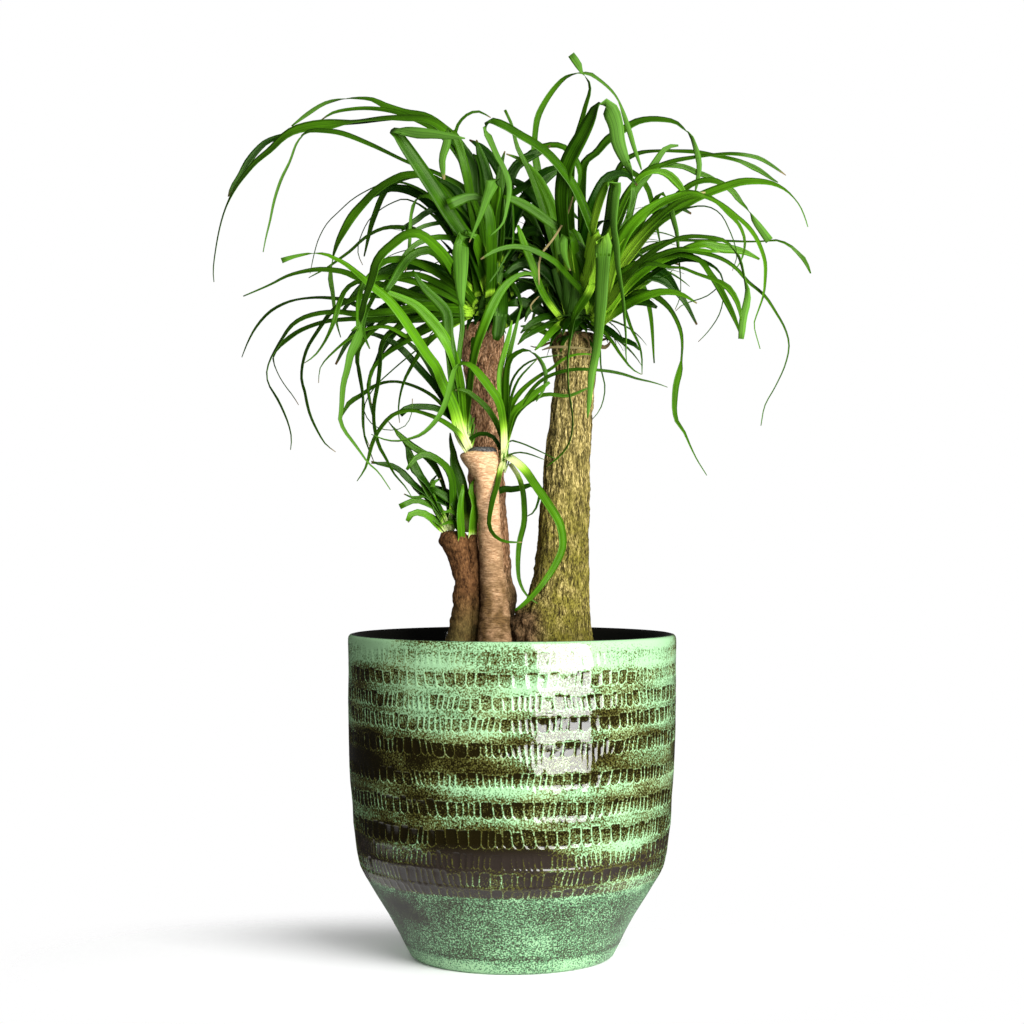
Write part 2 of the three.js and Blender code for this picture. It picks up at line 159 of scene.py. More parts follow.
def spin_profile(name, profile, steps):
    """Turn a list of (radius, height) in mm round Z: vertices extruded one by one, then spun."""
    profile = [(radius * MM, height * MM) for radius, height in profile]
    deselect()
    bpy.ops.mesh.primitive_plane_add(size=0.001, location=(profile[0][0], 0, profile[0][1]))
    piece = start_editing(name)
    bpy.ops.mesh.merge(type="CENTER")
    for (r0, z0), (r1, z1) in zip(profile, profile[1:]):
        bpy.ops.mesh.extrude_region_move(TRANSFORM_OT_translate={"value": (r1 - r0, 0, z1 - z0)})
    bpy.ops.mesh.select_all(action="SELECT")
    bpy.ops.mesh.spin(steps=steps, angle=2 * math.pi, center=(0, 0, 0), axis=(0, 0, 1))
    bpy.ops.mesh.select_all(action="SELECT")
    bpy.ops.mesh.remove_doubles(threshold=1e-6)
    end_editing()
    return piece


def keyed(keys, t):
    """Value at t in 0..1 along evenly spaced keys."""
    place = t * (len(keys) - 1)
    low = min(int(place), len(keys) - 2)
    return keys[low] + (keys[low + 1] - keys[low]) * (place - low)


# ------------------------------------------------------------ shader helpers


class Tree:
    """Short words for building a node tree."""

    def __init__(self, tree):
        self.nodes = tree.nodes
        self.links = tree.links

    def feed(self, socket, value):
        """Link a socket's value to an input, or set the input to a plain value."""
        if isinstance(value, bpy.types.NodeSocket):
            self.links.new(value, socket)
        else:
            socket.default_value = value

    def node(self, kind, inputs=None, **settings):
        """Add a node with its settings and inputs; returns its outputs."""
        made = self.nodes.new(kind)
        for key, value in settings.items():
            setattr(made, key, value)
        for key, value in (inputs or {}).items():
            self.feed(made.inputs[key], value)
        return made.outputs

    def math(self, operation, a, b=0.0, clamp=False):
        return self.node("ShaderNodeMath", {0: a, 1: b}, operation=operation, use_clamp=clamp)[0]

    def plus(self, a, b, clamp=False):
        return self.math("ADD", a, b, clamp)

    def minus(self, a, b):
        return self.math("SUBTRACT", a, b)

    def times(self, a, b):
        return self.math("MULTIPLY", a, b)

    def ramp(self, value, low, high, out_low=0.0, out_high=1.0):
        """A smooth step between two values, which may come in either order."""
        spans = {"From Min": low, "From Max": high, "To Min": out_low, "To Max": out_high}
        return self.node("ShaderNodeMapRange", {"Value": value, **spans}, interpolation_type="SMOOTHSTEP")["Result"]

    def mix(self, share, a, b):
        """The colour a, turned into b by a share."""
        a, b = (c if isinstance(c, bpy.types.NodeSocket) else (*c[:3], 1.0) for c in (a, b))
        return self.node("ShaderNodeMix", {0: share, 6: a, 7: b}, data_type="RGBA")[2]

    def stretched(self, vector, scale):
        return self.node("ShaderNodeMapping", {"Vector": vector, "Scale": scale})[0]

    def noise(self, vector, scale, detail, rough, distortion=0.0):
        return self.node("ShaderNodeTexNoise", {"Vector": vector, "Scale": scale, "Detail": detail,
                                                "Roughness": rough, "Distortion": distortion})["Fac"]

    def random(self, number):
        """A random value of 0..1 for each number."""
        return self.node("ShaderNodeTexWhiteNoise", {"W": number}, noise_dimensions="1D")["Value"]

    def attribute(self, name):
        return self.node("ShaderNodeAttribute", attribute_name=name)["Fac"]

    def uv_layer(self, name):
        return self.node("ShaderNodeUVMap", uv_map=name)["UV"]

    def place(self):
        """Coordinates in the object's own frame."""
        return self.node("ShaderNodeTexCoord")["Object"]

    def split(self, vector):
        """X, Y and Z of a vector, by name."""
        return self.node("ShaderNodeSeparateXYZ", {0: vector})


def new_material(name):
    """A material with a Principled shader: the material, its tree and the shader."""
    material = bpy.data.materials.new(name)
    material.use_nodes = True
    return material, Tree(material.node_tree), material.node_tree.nodes["Principled BSDF"]


def surface(tree, shader, colour, roughness, height, strength, distance):
    """Give a shader its colour, its roughness and the bumps of a height."""
    normal = tree.node("ShaderNodeBump", {"Strength": strength, "Distance": distance, "Height": height})["Normal"]
    for name, value in (("Base Color", colour), ("Roughness", roughness), ("Normal", normal)):
        tree.links.new(value, shader.inputs[name])


# Outputs of the speckle group: name, size in metres where none is given, detail.
SPECKLE_LAYERS = (("Grain", 0.001, 1.5), ("Blotch", 0.02, 4.0))


def speckle_group():
    """Fine grains and soft blotches at two sizes, as in a reactive glaze or a bark."""
    group = bpy.data.node_groups.get("Speckle")
    if group:
        return group
    group = bpy.data.node_groups.new("Speckle", "ShaderNodeTree")
    group.interface.new_socket("Vector", in_out="INPUT", socket_type="NodeSocketVector")
    for layer, size, _ in SPECKLE_LAYERS:
        socket = group.interface.new_socket(layer + " size", in_out="INPUT", socket_type="NodeSocketFloat")
        socket.default_value = size
        group.interface.new_socket(layer, in_out="OUTPUT", socket_type="NodeSocketFloat")
    tree = Tree(group)
    given = tree.node("NodeGroupInput")
    put = group.nodes.new("NodeGroupOutput").inputs
    for layer, _, detail in SPECKLE_LAYERS:
        scale = tree.math("DIVIDE", 1.0, given[layer + " size"])
        tree.links.new(tree.noise(given["Vector"], scale, detail, 0.5), put[layer])
    return group


def speckle(tree, vector, grain, blotch):
    """Grain and blotch values at two sizes in metres."""
    sizes = {"Grain size": grain, "Blotch size": blotch}
    made = tree.node("ShaderNodeGroup", {"Vector": vector, **sizes}, node_tree=speckle_group())
    return made["Grain"], made["Blotch"]


# ------------------------------------------------------------------- the pot
# Rows of pressed marks: middle height, half height (mm), how clearly they are pressed, mean width (mm).
MARK_ROWS = (
    (214.2, 4.8, 0.45, 6.4), (200.2, 5.0, 0.85, 6.0), (186.0, 5.2, 1.0, 5.6), (172.6, 5.4, 1.0, 5.8),
    (156.4, 5.4, 1.0, 6.0), (134.4, 5.2, 1.0, 5.6), (115.6, 5.8, 1.0, 5.8), (96.6, 6.2, 1.0, 6.0),
    (82.6, 5.8, 0.85, 5.8), (70.2, 5.6, 0.95, 6.2), (60.8, 3.8, 0.8, 6.2))
ROW_BORDERS = (222.0, 207.2, 193.2, 179.4, 164.8, 145.6, 125.2, 106.2, 89.6, 76.4, 64.6, 56.8)
MARK_RADIUS = 113.0  # where the marks' widths are measured, in mm
NARROW_RUNS = 0.27  # how often a run of narrow marks comes instead of a wide one
NARROW, WIDE = (0.58, 0.80), (1.0, 1.5)  # widths of both kinds, as shares of the row's mean
MARK_CORNER = 2.1  # rounding of the corners, in mm
DENT_EDGE, RIDGE_EDGE = 1.5, 0.9  # mm over which a mark reaches its depth, and its ridge the plain wall
RIDGE_HEIGHT = 0.18  # of the mark's depth
POT_SEED = 11
POT_COLUMNS = 720
# Heights of plain rings of the outside, in mm; the marks add their own.
PLAIN_RINGS = (0.0, 1.6, 5.3, 9.5, 10.6, 11.6, 12.8, 16.5, 23.6, 30.6, 37.6, 44.6, 51.6, 55.0)
CLOSEST_RINGS = 0.35
# Outline of the pot's outside, radius and height in mm, between foot and lip.
POT_OUTLINE = (
    (69.0, 0.0), (71.6, 1.6), (73.6, 5.3), (75.8, 9.5), (79.2, 16.5), (83.0, 23.6), (86.9, 30.6), (91.3, 37.6),
    (95.6, 44.6), (99.7, 51.6), (102.6, 56.4), (104.7, 60.0), (106.4, 63.6), (107.8, 68.5), (108.8, 73.0),
    (109.7, 80.0), (110.4, 87.0), (111.3, 94.0), (112.0, 108.0), (113.1, 122.0), (113.9, 136.0), (114.3, 150.0),
    (114.6, 164.0), (114.8, 178.0), (114.8, 206.0), (114.9, 214.0), (115.0, 219.0), (114.9, 222.0))
POT_LIP = (
    (114.6, 223.4), (113.6, 224.6), (111.9, 225.0), (110.2, 224.8), (108.9, 223.6), (108.1, 221.6))
POT_INSIDE = (
    (107.9, 214.0), (107.9, 178.0), (106.9, 136.0), (103.4, 100.0), (98.4, 73.0), (92.8, 56.0), (70.0, 15.0),
    (64.0, 9.0), (30.0, 9.0), (0.0, 9.0))
OUTSIDE_TOP = 221.0  # the lip begins here, in mm
FOOT_TOP = 56.0  # the conical foot ends about here
# How much of the glaze is mint at each height (mm), before the clouds; the values above 1 at the lip reach the palest
# mint, a painted highlight.
MINT_AT = (
    (0, 0.95), (7, 0.85), (10, 0.72), (11.5, 0.3), (13.5, 0.6), (30, 0.55), (50, 0.51), (56.5, 0.58), (57.5, 0.16),
    (66, 0.08), (78, 0.08), (88, 0.13), (91, 0.28), (100, 0.3), (104, 0.5), (108, 0.5), (112, 0.36), (122, 0.38),
    (126, 0.55), (129, 0.52), (136, 0.36), (141, 0.33), (150, 0.32), (153, 0.3), (162, 0.32), (166, 0.56), (169, 0.5),
    (178, 0.46), (181, 0.66), (191, 0.58), (194, 0.74), (197, 0.7), (205, 0.64), (208, 0.84), (212, 0.82),
    (217, 0.86), (220, 1.15), (225, 1.35))
# Clouds of mint (positive) and of dark glaze: degrees right of the front, height, spread in degrees and mm, amount.
CLOUDS = (
    (-34, 210, 30, 4, 0.4), (42, 196, 16, 18, -0.22), (22, 190, 9, 12, -0.22), (-8, 188, 14, 7, 0.28),
    (-32, 174, 15, 6, 0.24), (-66, 150, 18, 34, -0.24), (-54, 38, 26, 20, -0.34), (42, 172, 18, 8, -0.2),
    (-24, 164, 26, 3, 0.3), (-30, 153, 28, 5, -0.22), (-34, 146, 26, 5, -0.24), (-42, 144, 9, 4, 0.34),
    (62, 150, 12, 6, 0.42), (-5, 130, 20, 5, 0.34), (-58, 139, 18, 15, -0.3), (33, 146, 14, 12, -0.14),
    (-8, 109, 16, 3, 0.4), (40, 112, 18, 4, 0.44), (-44, 100, 30, 13, -0.3), (40, 90, 18, 7, 0.56),
    (-8, 90, 20, 7, -0.36), (38, 78, 30, 11, 0.46), (50, 64, 24, 6, 0.34), (-48, 83, 16, 6, 0.24),
    (-14, 84, 12, 4, -0.1), (-30, 200, 34, 22, 0.2), (-50, 50, 14, 12, -0.18), (4, 34, 28, 5, 0.16),
    (40, 30, 22, 12, -0.1), (66, 190, 10, 16, 0.1), (150, 200, 40, 12, 0.3), (120, 150, 30, 10, -0.35),
    (-120, 180, 30, 12, 0.25), (-150, 120, 40, 14, -0.4), (170, 90, 40, 12, 0.3), (100, 100, 26, 12, -0.3),
    (-100, 90, 24, 12, 0.25))


def outline_radius(height):
    """Outer radius of the plain pot at a height or an array of heights, in mm."""
    radii, heights = zip(*POT_OUTLINE)
    return np.interp(height, heights, radii)


def row_at(height):
    """Number of the row of marks that each height in mm lies in, from the top down."""
    return len(MARK_ROWS) - np.searchsorted(np.array(ROW_BORDERS[::-1]), height)


class MarkRow:
    """One row of pressed marks round the pot: where each begins, how wide it is and how it sits."""

    def __init__(self, rng, row):
        self.middle, self.half, self.share, mean = row
        widths = []
        while sum(widths) < 2 * math.pi * MARK_RADIUS:
            if rng.random() < NARROW_RUNS:
                widths += [rng.uniform(*NARROW) * mean for _ in range(rng.randint(2, 5))]
            else:
                widths.append(rng.uniform(*WIDE) * mean)
        self.count = len(widths)
        self.widths = np.array(widths)
        starts = np.concatenate(([0.0], np.cumsum(widths)))
        starts *= 2 * math.pi / starts[-1]
        self.starts = np.concatenate((starts[:-1] - 2 * math.pi, starts[:-1], starts + 2 * math.pi))
        self.steps = np.arange(-self.count, 2 * self.count + 1, dtype=float)
        self.jitter = np.array([rng.uniform(-1, 1) for _ in widths])
        self.phases = [rng.uniform(0, 2 * math.pi) for _ in range(3)]

    def read(self, angle, height):
        """Place along the row in marks, mm inside its top and bottom edge, width of the mark, share of its rise."""
        rise = height - self.middle - 0.8 * np.sin(angle + self.phases[0]) + 1.1 * np.cos(angle)
        lean = 0.13 * np.sin(3 * angle + self.phases[1]) + 0.12 * np.sin(13 * angle + self.phases[2])
        place = np.interp(angle + lean * rise / MARK_RADIUS, self.starts, self.steps)
        index = np.floor(place).astype(int) % self.count
        jitter = self.jitter[index]
        inside = self.half * (1 + 0.10 * jitter) - np.abs(rise - 0.8 * jitter)
        return place, inside, self.widths[index], rise / self.half


def inside_mark(place, inside, width):
    """Distance in mm inside a mark with rounded corners."""
    side = (0.5 - np.abs(place - np.floor(place) - 0.5)) * width
    return MARK_CORNER - np.hypot(np.maximum(MARK_CORNER - side, 0), np.maximum(MARK_CORNER - inside, 0))


def pot_profile(rows):
    """The pot's section as (radius, height) in mm, with rings where the marks' edges are pressed."""
    heights = {*PLAIN_RINGS, *ROW_BORDERS}
    for row in rows:
        for edge in (-1, 1):
            heights.update(row.middle + edge * (row.half + offset) for offset in (0.9, -0.3, -1.5, -2.9))
    heights = sorted(h for h in heights if h <= ROW_BORDERS[0])
    heights = [h for h, following in zip(heights, [*heights[1:], math.inf]) if following - h > CLOSEST_RINGS]
    outside = [(float(outline_radius(z)), z) for z in heights]
    return [(0.0, 0.0), (40.0, 0.0), *outside, *POT_LIP, *POT_INSIDE]


class PotShell:
    """The turned pot's vertices, with what the marks and the glaze need to know of them."""

    def __init__(self, mesh, rows):
        self.mesh = mesh
        self.rows = rows
        spots = np.zeros(len(mesh.vertices) * 3)
        mesh.vertices.foreach_get("co", spots)
        self.spots = spots.reshape(-1, 3)
        self.radius = np.hypot(self.spots[:, 0], self.spots[:, 1]) / MM
        self.height = self.spots[:, 2] / MM
        self.angle = np.arctan2(self.spots[:, 0], -self.spots[:, 1])
        self.outer = self.radius > outline_radius(np.minimum(self.height, OUTSIDE_TOP)) - 2.5

    def press_marks(self, settings):
        """Press the marks in, with a low ridge round each; returns how clearly each vertex's row is pressed."""
        row_of = row_at(self.height)
        field = np.full(len(self.height), -3.0)
        press = np.zeros(len(self.height))
        for number, row in enumerate(self.rows):
            here = (row_of == number) & self.outer
            place, inside, width, _ = row.read(self.angle[here], self.height[here])
            field[here] = inside_mark(place, inside, width)
            press[here] = row.share
        dent = np.clip(field / DENT_EDGE, 0, 1)
        dent = dent * dent * (3 - 2 * dent) * press
        ridge = np.clip(1 - np.abs(field) / RIDGE_EDGE, 0, 1) * press * (field > -RIDGE_EDGE)
        wave = np.array([noise.noise(Vector(spot) * 45) for spot in self.spots]) * 0.0004 * self.outer
        move = (ridge * RIDGE_HEIGHT - dent) * settings.mark_depth + wave * (self.height > 14)
        for axis in (0, 1):
            self.spots[:, axis] += self.spots[:, axis] / np.maximum(self.radius * MM, 1e-6) * move * self.outer
        wider = settings.radius / POT_RADIUS
        sized = self.spots * (wider, wider, settings.height / POT_HEIGHT)
        self.mesh.vertices.foreach_set("co", sized.ravel())
        return press

    def mint(self):
        """How much of the glaze is mint: bands by height, clouds and streaks."""
        swell = np.array([noise.noise(Vector((x * 15, y * 15, z * 60 + 7))) for x, y, z in self.spots])
        band = np.interp(self.height, *zip(*MINT_AT))
        mint = np.where(self.height > FOOT_TOP + 1, 0.38 + (band - 0.38) * (0.85 + 2.0 * swell), band)
        turned = np.degrees(self.angle)
        for middle, level, wide, tall, amount in CLOUDS:
            away = (turned - middle + 180) % 360 - 180
            mint = mint + amount * np.exp(-(away / wide) ** 2 - ((self.height - level) / tall) ** 2)
        drift = [noise.fractal(Vector((x * 26, y * 26, z * 90)), 0.8, 2.1, 4) for x, y, z in self.spots]
        return mint + np.array(drift) * np.where(self.height > FOOT_TOP, 0.34, 0.26) * (self.height < OUTSIDE_TOP)

    def add_mark_layers(self):
        """UV layers for the glaze: "mark" has place and mm inside, "size" has width and rise."""
        mesh = self.mesh
        corners = np.zeros(len(mesh.loops), dtype=int)
        mesh.loops.foreach_get("vertex_index", corners)
        owner = np.repeat(np.arange(len(mesh.polygons)), [len(p.vertices) for p in mesh.polygons])
        counts = np.bincount(owner)
        angle = self.angle[corners]
        first = angle[np.concatenate(([0], np.cumsum(counts)[:-1]))]
        angle = angle - 2 * math.pi * np.round((angle - first[owner]) / (2 * math.pi))
        height = self.height[corners]
        row_of = row_at((np.bincount(owner, height) / counts)[owner])
        mark = np.zeros((len(corners), 2))
        size = np.zeros((len(corners), 2))
        mark[:, 1] = -9.0
        for number, row in enumerate(self.rows):
            here = (row_of == number) & self.outer[corners]
            place, inside, width, rise = row.read(angle[here], height[here])
            mark[here] = np.stack((place + 300 * number, inside), 1)
            size[here] = np.stack((width, rise), 1)
        for name, values in (("mark", mark), ("size", size)):
            mesh.uv_layers.new(name=name).data.foreach_set("uv", values.ravel())


class PALM_OT_glazed_pot(bpy.types.Operator):
    """Turn the pot, press its rows of marks and glaze it."""

    bl_idname = "palm.glazed_pot"
    bl_label = "Glazed pot"

    def execute(self, context):
        settings = context.scene.palm_pot
        rng = random.Random(POT_SEED)
        rows = [MarkRow(rng, row) for row in MARK_ROWS]
        piece = spin_profile("glazed_pot_glazed", pot_profile(rows), POT_COLUMNS)
        shell = PotShell(piece.data, rows)
        press = shell.press_marks(settings)
        # Painted shade: the pot's inside above its floor is coloured near black.
        shaded_lining = (~shell.outer & (shell.height > 8)).astype(float)
        for name, values in (("mint", shell.mint()), ("press", press), ("inside", shaded_lining)):
            piece.data.attributes.new(name, "FLOAT", "POINT").data.foreach_set("value", values)
        shell.add_mark_layers()
        finish_piece(piece, "pot_glaze", glaze_material(settings), "glazed_pot")
        return {"FINISHED"}


def glaze_material(settings):
    """Mint glaze that breaks to olive and brown: in the marks, in bands and in fine specks."""
    material, tree, shader = new_material("reactive_glaze")
    place = tree.place()
    height = tree.split(place)["Z"]
    grain, blotch = speckle(tree, place, 0.0011, 0.004)
    mint = tree.attribute("mint")
    press = tree.attribute("press")
    mark = tree.split(tree.uv_layer("mark"))
    size = tree.split(tree.uv_layer("size"))

    # How far inside a mark with rounded corners a point lies, in mm, with an edge that wavers.
    along = mark["X"]
    rise = size["Y"]
    share = tree.minus(0.5, tree.math("ABSOLUTE", tree.minus(tree.math("FRACT", along), 0.5)))
    side = tree.minus(tree.times(share, size["X"]), tree.ramp(rise, -0.35, -1.0, 0.0, 0.75))
    low_rows = tree.ramp(height, 0.089, 0.087)
    corner = tree.plus(tree.ramp(rise, 0.4, -0.6, 1.5, 3.0), tree.times(low_rows, 0.9))
    short_x = tree.math("MAXIMUM", tree.minus(corner, side), 0.0)
    short_y = tree.math("MAXIMUM", tree.minus(corner, mark["Y"]), 0.0)
    reach = tree.math("SQRT", tree.plus(tree.times(short_x, short_x), tree.times(short_y, short_y)))
    wobble = tree.times(tree.minus(blotch, 0.5), 0.825)
    inside = tree.plus(tree.minus(corner, reach), wobble)

    # Mint stands on the ridges between the marks, and the hollows break to brown.
    rib_strength = tree.ramp(tree.random(tree.math("FLOOR", tree.plus(along, 0.5))), 0.0, 0.75, 0.35, 1.0)
    pressed = tree.times(tree.ramp(inside, 0.35, 0.85), press)
    # Painted shade: the upper edge of each mark is darker and loses its mint ridge, as if shaded by the wall above
    # it.
    shaded_upper_edge = tree.ramp(rise, 0.35, 0.85)
    near = tree.times(tree.ramp(inside, -0.50, 0.0), tree.ramp(inside, 0.62, 0.25))
    ridge = tree.times(tree.times(near, rib_strength), press)
    ridge = tree.times(ridge, tree.minus(1.0, tree.times(shaded_upper_edge, 0.45)))
    ridge = tree.times(ridge, tree.ramp(mint, 0.0, 0.42, 0.66, 1.0))
    foot = tree.ramp(height, 0.058, 0.056)
    speck = tree.times(tree.minus(grain, 0.5), tree.plus(tree.times(foot, 0.3), 2.6))
    hollow = tree.plus(tree.times(tree.random(tree.math("FLOOR", along)), 0.12), 0.22)
    hollow = tree.plus(hollow, tree.times(shaded_upper_edge, 0.22))
    level = tree.minus(mint, tree.times(pressed, hollow))
    level = tree.plus(level, tree.times(speck, tree.ramp(mint, 0.0, 0.4, 0.42, 1.0)))
    level = tree.plus(level, tree.times(ridge, 0.55), clamp=True)

    # From dark through olive to mint as the glaze lies thicker.
    lit_mint = tuple(min(1.0, c * 1.5 + 0.05) for c in settings.mint)
    low_band = tree.times(tree.ramp(height, 0.055, 0.058), tree.ramp(height, 0.094, 0.082))
    dark = tree.mix(low_band, settings.dark, settings.plum)
    olive = tree.mix(tree.times(foot, 0.75), settings.olive, settings.deep_green)
    colour = tree.mix(tree.ramp(level, 0.02, 0.36), dark, olive)
    warm = tree.ramp(tree.noise(place, 26.0, 2.0, 0.5), 0.42, 0.62)
    thick = tree.mix(tree.times(warm, 0.7), settings.mint, (0.188, 0.236, 0.092))
    thick = tree.mix(foot, thick, (0.090, 0.228, 0.107))
    colour = tree.mix(tree.ramp(level, 0.34, 0.80), colour, thick)
    # The palest step, lit_mint, is a painted highlight, strongest on the lip.
    colour = tree.mix(tree.ramp(level, 0.78, 1.0), colour, lit_mint)
    # The inside is painted near black as painted shade.
    colour = tree.mix(tree.attribute("inside"), colour, (0.004, 0.004, 0.003))
    rough = tree.plus(tree.ramp(grain, 0.3, 0.75, 0.050, 0.095), tree.times(foot, 0.42))
    shader.inputs["Specular IOR Level"].default_value = 0.45
    shader.inputs["IOR"].default_value = 1.5
    relief = tree.times(tree.ramp(inside, -0.2, 0.7), press)
    fine = tree.plus(tree.times(grain, 0.08), tree.times(relief, -0.40))
    fine = tree.plus(fine, tree.times(blotch, 0.25))
    surface(tree, shader, colour, rough, fine, 0.28, 0.0008)
    return material


class PALM_OT_nursery_pot(bpy.types.Operator):
    """Turn the thin plastic pot that stands inside."""

    bl_idname = "palm.nursery_pot"
    bl_label = "Nursery pot"

    def execute(self, context):
        low, high = (Vector(corner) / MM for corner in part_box("nursery_pot"))
        rim, top, bottom = high.x, high.z, low.z
        foot = 61
        profile = [(0, bottom), (foot - 3, bottom), (foot, bottom + 1)]
        ribs = 14
        for i in range(ribs):
            z = bottom + 3 + (top - 12 - bottom) * (i / ribs)
            r = foot + (rim - 4 - foot) * (z - bottom) / (top - 8 - bottom)
            profile += [(r, z), (r + 0.35, z + 1.2), (r, z + 2.4)]
        crown_shade = ((4, 8), (0.6, 8), (0, 7.2), (0, 1.2), (0.8, 0), (4.8, 0), (5.6, 1), (5.6, 8))
        profile += [(rim - inwards, top - down) for inwards, down in crown_shade]
        profile += [(59.4, bottom + 1.6), (0, bottom + 1.6)]
        piece = spin_profile("nursery_pot_moulded", profile, 128)
        material, tree, shader = new_material("black_plastic")
        grain, blotch = speckle(tree, tree.place(), 0.0006, 0.03)
        colour = tree.mix(tree.ramp(blotch, 0.4, 0.75), (0.012, 0.012, 0.013), (0.035, 0.032, 0.03))
        surface(tree, shader, colour, tree.ramp(blotch, 0.3, 0.8, 0.38, 0.62), grain, 0.25, 0.0002)
        finish_piece(piece, "nursery_pot_plastic", material, "nursery_pot")
        return {"FINISHED"}


SOIL_RINGS = 24
CRUMBS = 420
CRUMB_SEED = 5


class PALM_OT_potting_soil(bpy.types.Operator):
    """Fill the nursery pot with crumbly soil."""

    bl_idname = "palm.potting_soil"
    bl_label = "Potting soil"

    def execute(self, context):
        low, high = (Vector(corner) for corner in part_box("potting_soil"))
        rim = high.x - 0.0006
        foot = rim - 0.026
        top = high.z - 0.004  # leaves room for the lumps and crumbs
        deselect()
        bpy.ops.mesh.primitive_circle_add(vertices=96, radius=foot, fill_type="NGON", location=(0, 0, low.z))
        piece = start_editing("potting_soil_crumbs")
        bpy.ops.mesh.extrude_region_move(TRANSFORM_OT_translate={"value": (0, 0, top - low.z)})
        bpy.ops.transform.resize(value=(rim / foot, rim / foot, 1))
        for _ in range(SOIL_RINGS):
            bpy.ops.mesh.inset(thickness=rim / (SOIL_RINGS + 1))
        end_editing()
        for vertex in piece.data.vertices:
            if vertex.co.z < top - 0.001:
                continue
            lumps = noise.noise(vertex.co * 120) * 0.0018 + noise.noise(vertex.co * 330) * 0.0010
            edge = np.clip((vertex.co.xy.length / rim - 0.8) / (1.0 - 0.8), 0, 1)
            edge = edge * edge * (3 - 2 * edge)
            vertex.co.z += lumps + 0.002 * (1 - edge) - 0.001 * edge
        self.add_crumbs(piece.data, rim * 0.96, top + 0.0012)
        material, tree, shader = new_material("dark_soil")
        grain, blotch = speckle(tree, tree.place(), 0.0011, 0.009)
        colour = tree.mix(tree.ramp(grain, 0.42, 0.7), (0.012, 0.008, 0.005), (0.075, 0.048, 0.028))
        colour = tree.mix(tree.ramp(blotch, 0.62, 0.72), colour, (0.15, 0.105, 0.062))
        surface(tree, shader, colour, tree.ramp(blotch, 0.3, 0.7, 0.8, 0.97), grain, 0.8, 0.0012)
        finish_piece(piece, "soil", material, "potting_soil")
        return {"FINISHED"}

    @staticmethod
    def add_crumbs(mesh, widest, height):
        """Scatter flattened grains over the soil, out to the widest radius."""
        rng = random.Random(CRUMB_SEED)
        crumbs = bmesh.new()
        crumbs.from_mesh(mesh)
        for _ in range(CRUMBS):
            angle = rng.uniform(0, 2 * math.pi)
            reach = widest * math.sqrt(rng.random())
            size = rng.uniform(0.0012, 0.0042)
            place = Vector((reach * math.cos(angle), reach * math.sin(angle), height))
            turn = Matrix.Rotation(rng.uniform(0, 6.28), 4, Vector((rng.random(), rng.random(), rng.random() + 0.1)))
            shape = Matrix.Diagonal((size, size * rng.uniform(0.4, 0.9), size * rng.uniform(0.3, 0.7), 1))
            bmesh.ops.create_icosphere(crumbs, subdivisions=1, radius=0.5,
                                       matrix=Matrix.Translation(place) @ turn @ shape)
        crumbs.to_mesh(mesh)
        crumbs.free()


# ------------------------------------------------------------------ the stems
# Rows of (height, left edge, right edge, depth of the middle) in mm.
MAIN_TRUNK = (
    (132, 22, 36, 2), (142, 8, 50, 2), (160, 0, 58, 1), (185, -3, 60, 0), (210, -4, 58, 0), (224, -3, 56, 0),
    (233, -1, 55, 0), (240, 4.5, 54.8, 0), (250, 11, 54.4, 1), (266, 15.5, 54, 1.5), (281, 17, 53.4, 2),
    (297, 18.7, 53.5, 2.2), (312, 20.2, 53.9, 2.5), (328, 22.3, 54.4, 3), (343, 23.3, 55, 3.3), (359, 25, 55.5, 3.7),
    (375, 27, 56, 4), (387, 28.6, 57.3, 4), (396, 30.4, 58, 4), (409, 30.8, 59, 4), (420, 29, 60.5, 4),
    (427, 27.6, 60.2, 4), (434, 28.5, 59, 4), (437, 31, 57, 4))
REAR_TRUNK = (
    (140, -26, -14, 30), (150, -34, -6, 30), (175, -38, -4, 29), (205, -35, -2, 28), (228, -31, 1, 26),
    (250, -28, 3, 23), (266, -28.5, 0, 21), (300, -30.5, -3, 19), (340, -31.5, -5.7, 17), (368, -31.4, -8.5, 16),
    (400, -33, -6.6, 16), (427, -37, -4.6, 16), (440, -36, -5, 16), (444, -33, -7.5, 16), (446, -28, -12, 16))
FRONT_STUMP = (
    (150, -18, -4, -26), (160, -23, 1, -26), (195, -26, 0, -25), (225, -24, -0.6, -24), (245, -21.5, -1.8, -23),
    (266, -22, -4.7, -22), (285, -23, -6.8, -22), (306, -23.6, -8.2, -22), (331, -25.4, -9.3, -22),
    (340, -30.4, -9.4, -22), (345, -34.6, -9.6, -22), (349, -36.2, -9.8, -22), (351.2, -34.6, -10.4, -22),
    (352, -31, -10.8, -22), (354.2, -29.4, -11.4, -22), (355, -27, -13.4, -22))
# Ridge of old bark between the two stumps.
STUMP_SEAM = (
    (196, -34, -20, -15), (225, -31, -19.5, -16), (245, -29.5, -20.5, -17), (262, -28.6, -21.6, -17),
    (275, -30, -22.5, -17), (284, -32.5, -22.8, -16.5), (290, -34, -23.2, -16.5), (293.5, -32.5, -24, -16.5),
    (294.5, -30.5, -25.5, -16.5))
LEFT_STUMP = (
    (155, -48, -34, -14), (166, -54, -29, -14), (195, -50, -27, -15), (221, -46, -26.5, -16), (240, -42, -26, -16),
    (261, -40.4, -24.6, -16), (271, -42, -27.4, -16), (282, -46, -28, -16), (289, -49.6, -28.6, -16),
    (293, -50, -30, -16), (296, -48, -32.5, -16), (297, -45, -35, -16))
# Knobs on the main trunk: across, height, reach and rise, in mm.
TRUNK_KNOBS = (
    (10, 236, 5, 3.0), (19, 229, 4.4, 2.6), (4, 227, 4.5, 3.2), (27, 223, 5, 2.2), (12, 223, 4, 2.8),
    (22, 240, 4, 1.8), (0, 234, 3.6, 2.8), (6, 241, 3.2, 2.2), (15, 243, 3.2, 1.6), (-2, 223, 4, 2.6),
    (24, 233, 3.4, 1.6), (36, 228, 6, 1.8), (46, 236, 7, 1.6), (8, 214, 7, 2.4), (30, 246, 5, 1.2), (41, 218, 6, 1.6))


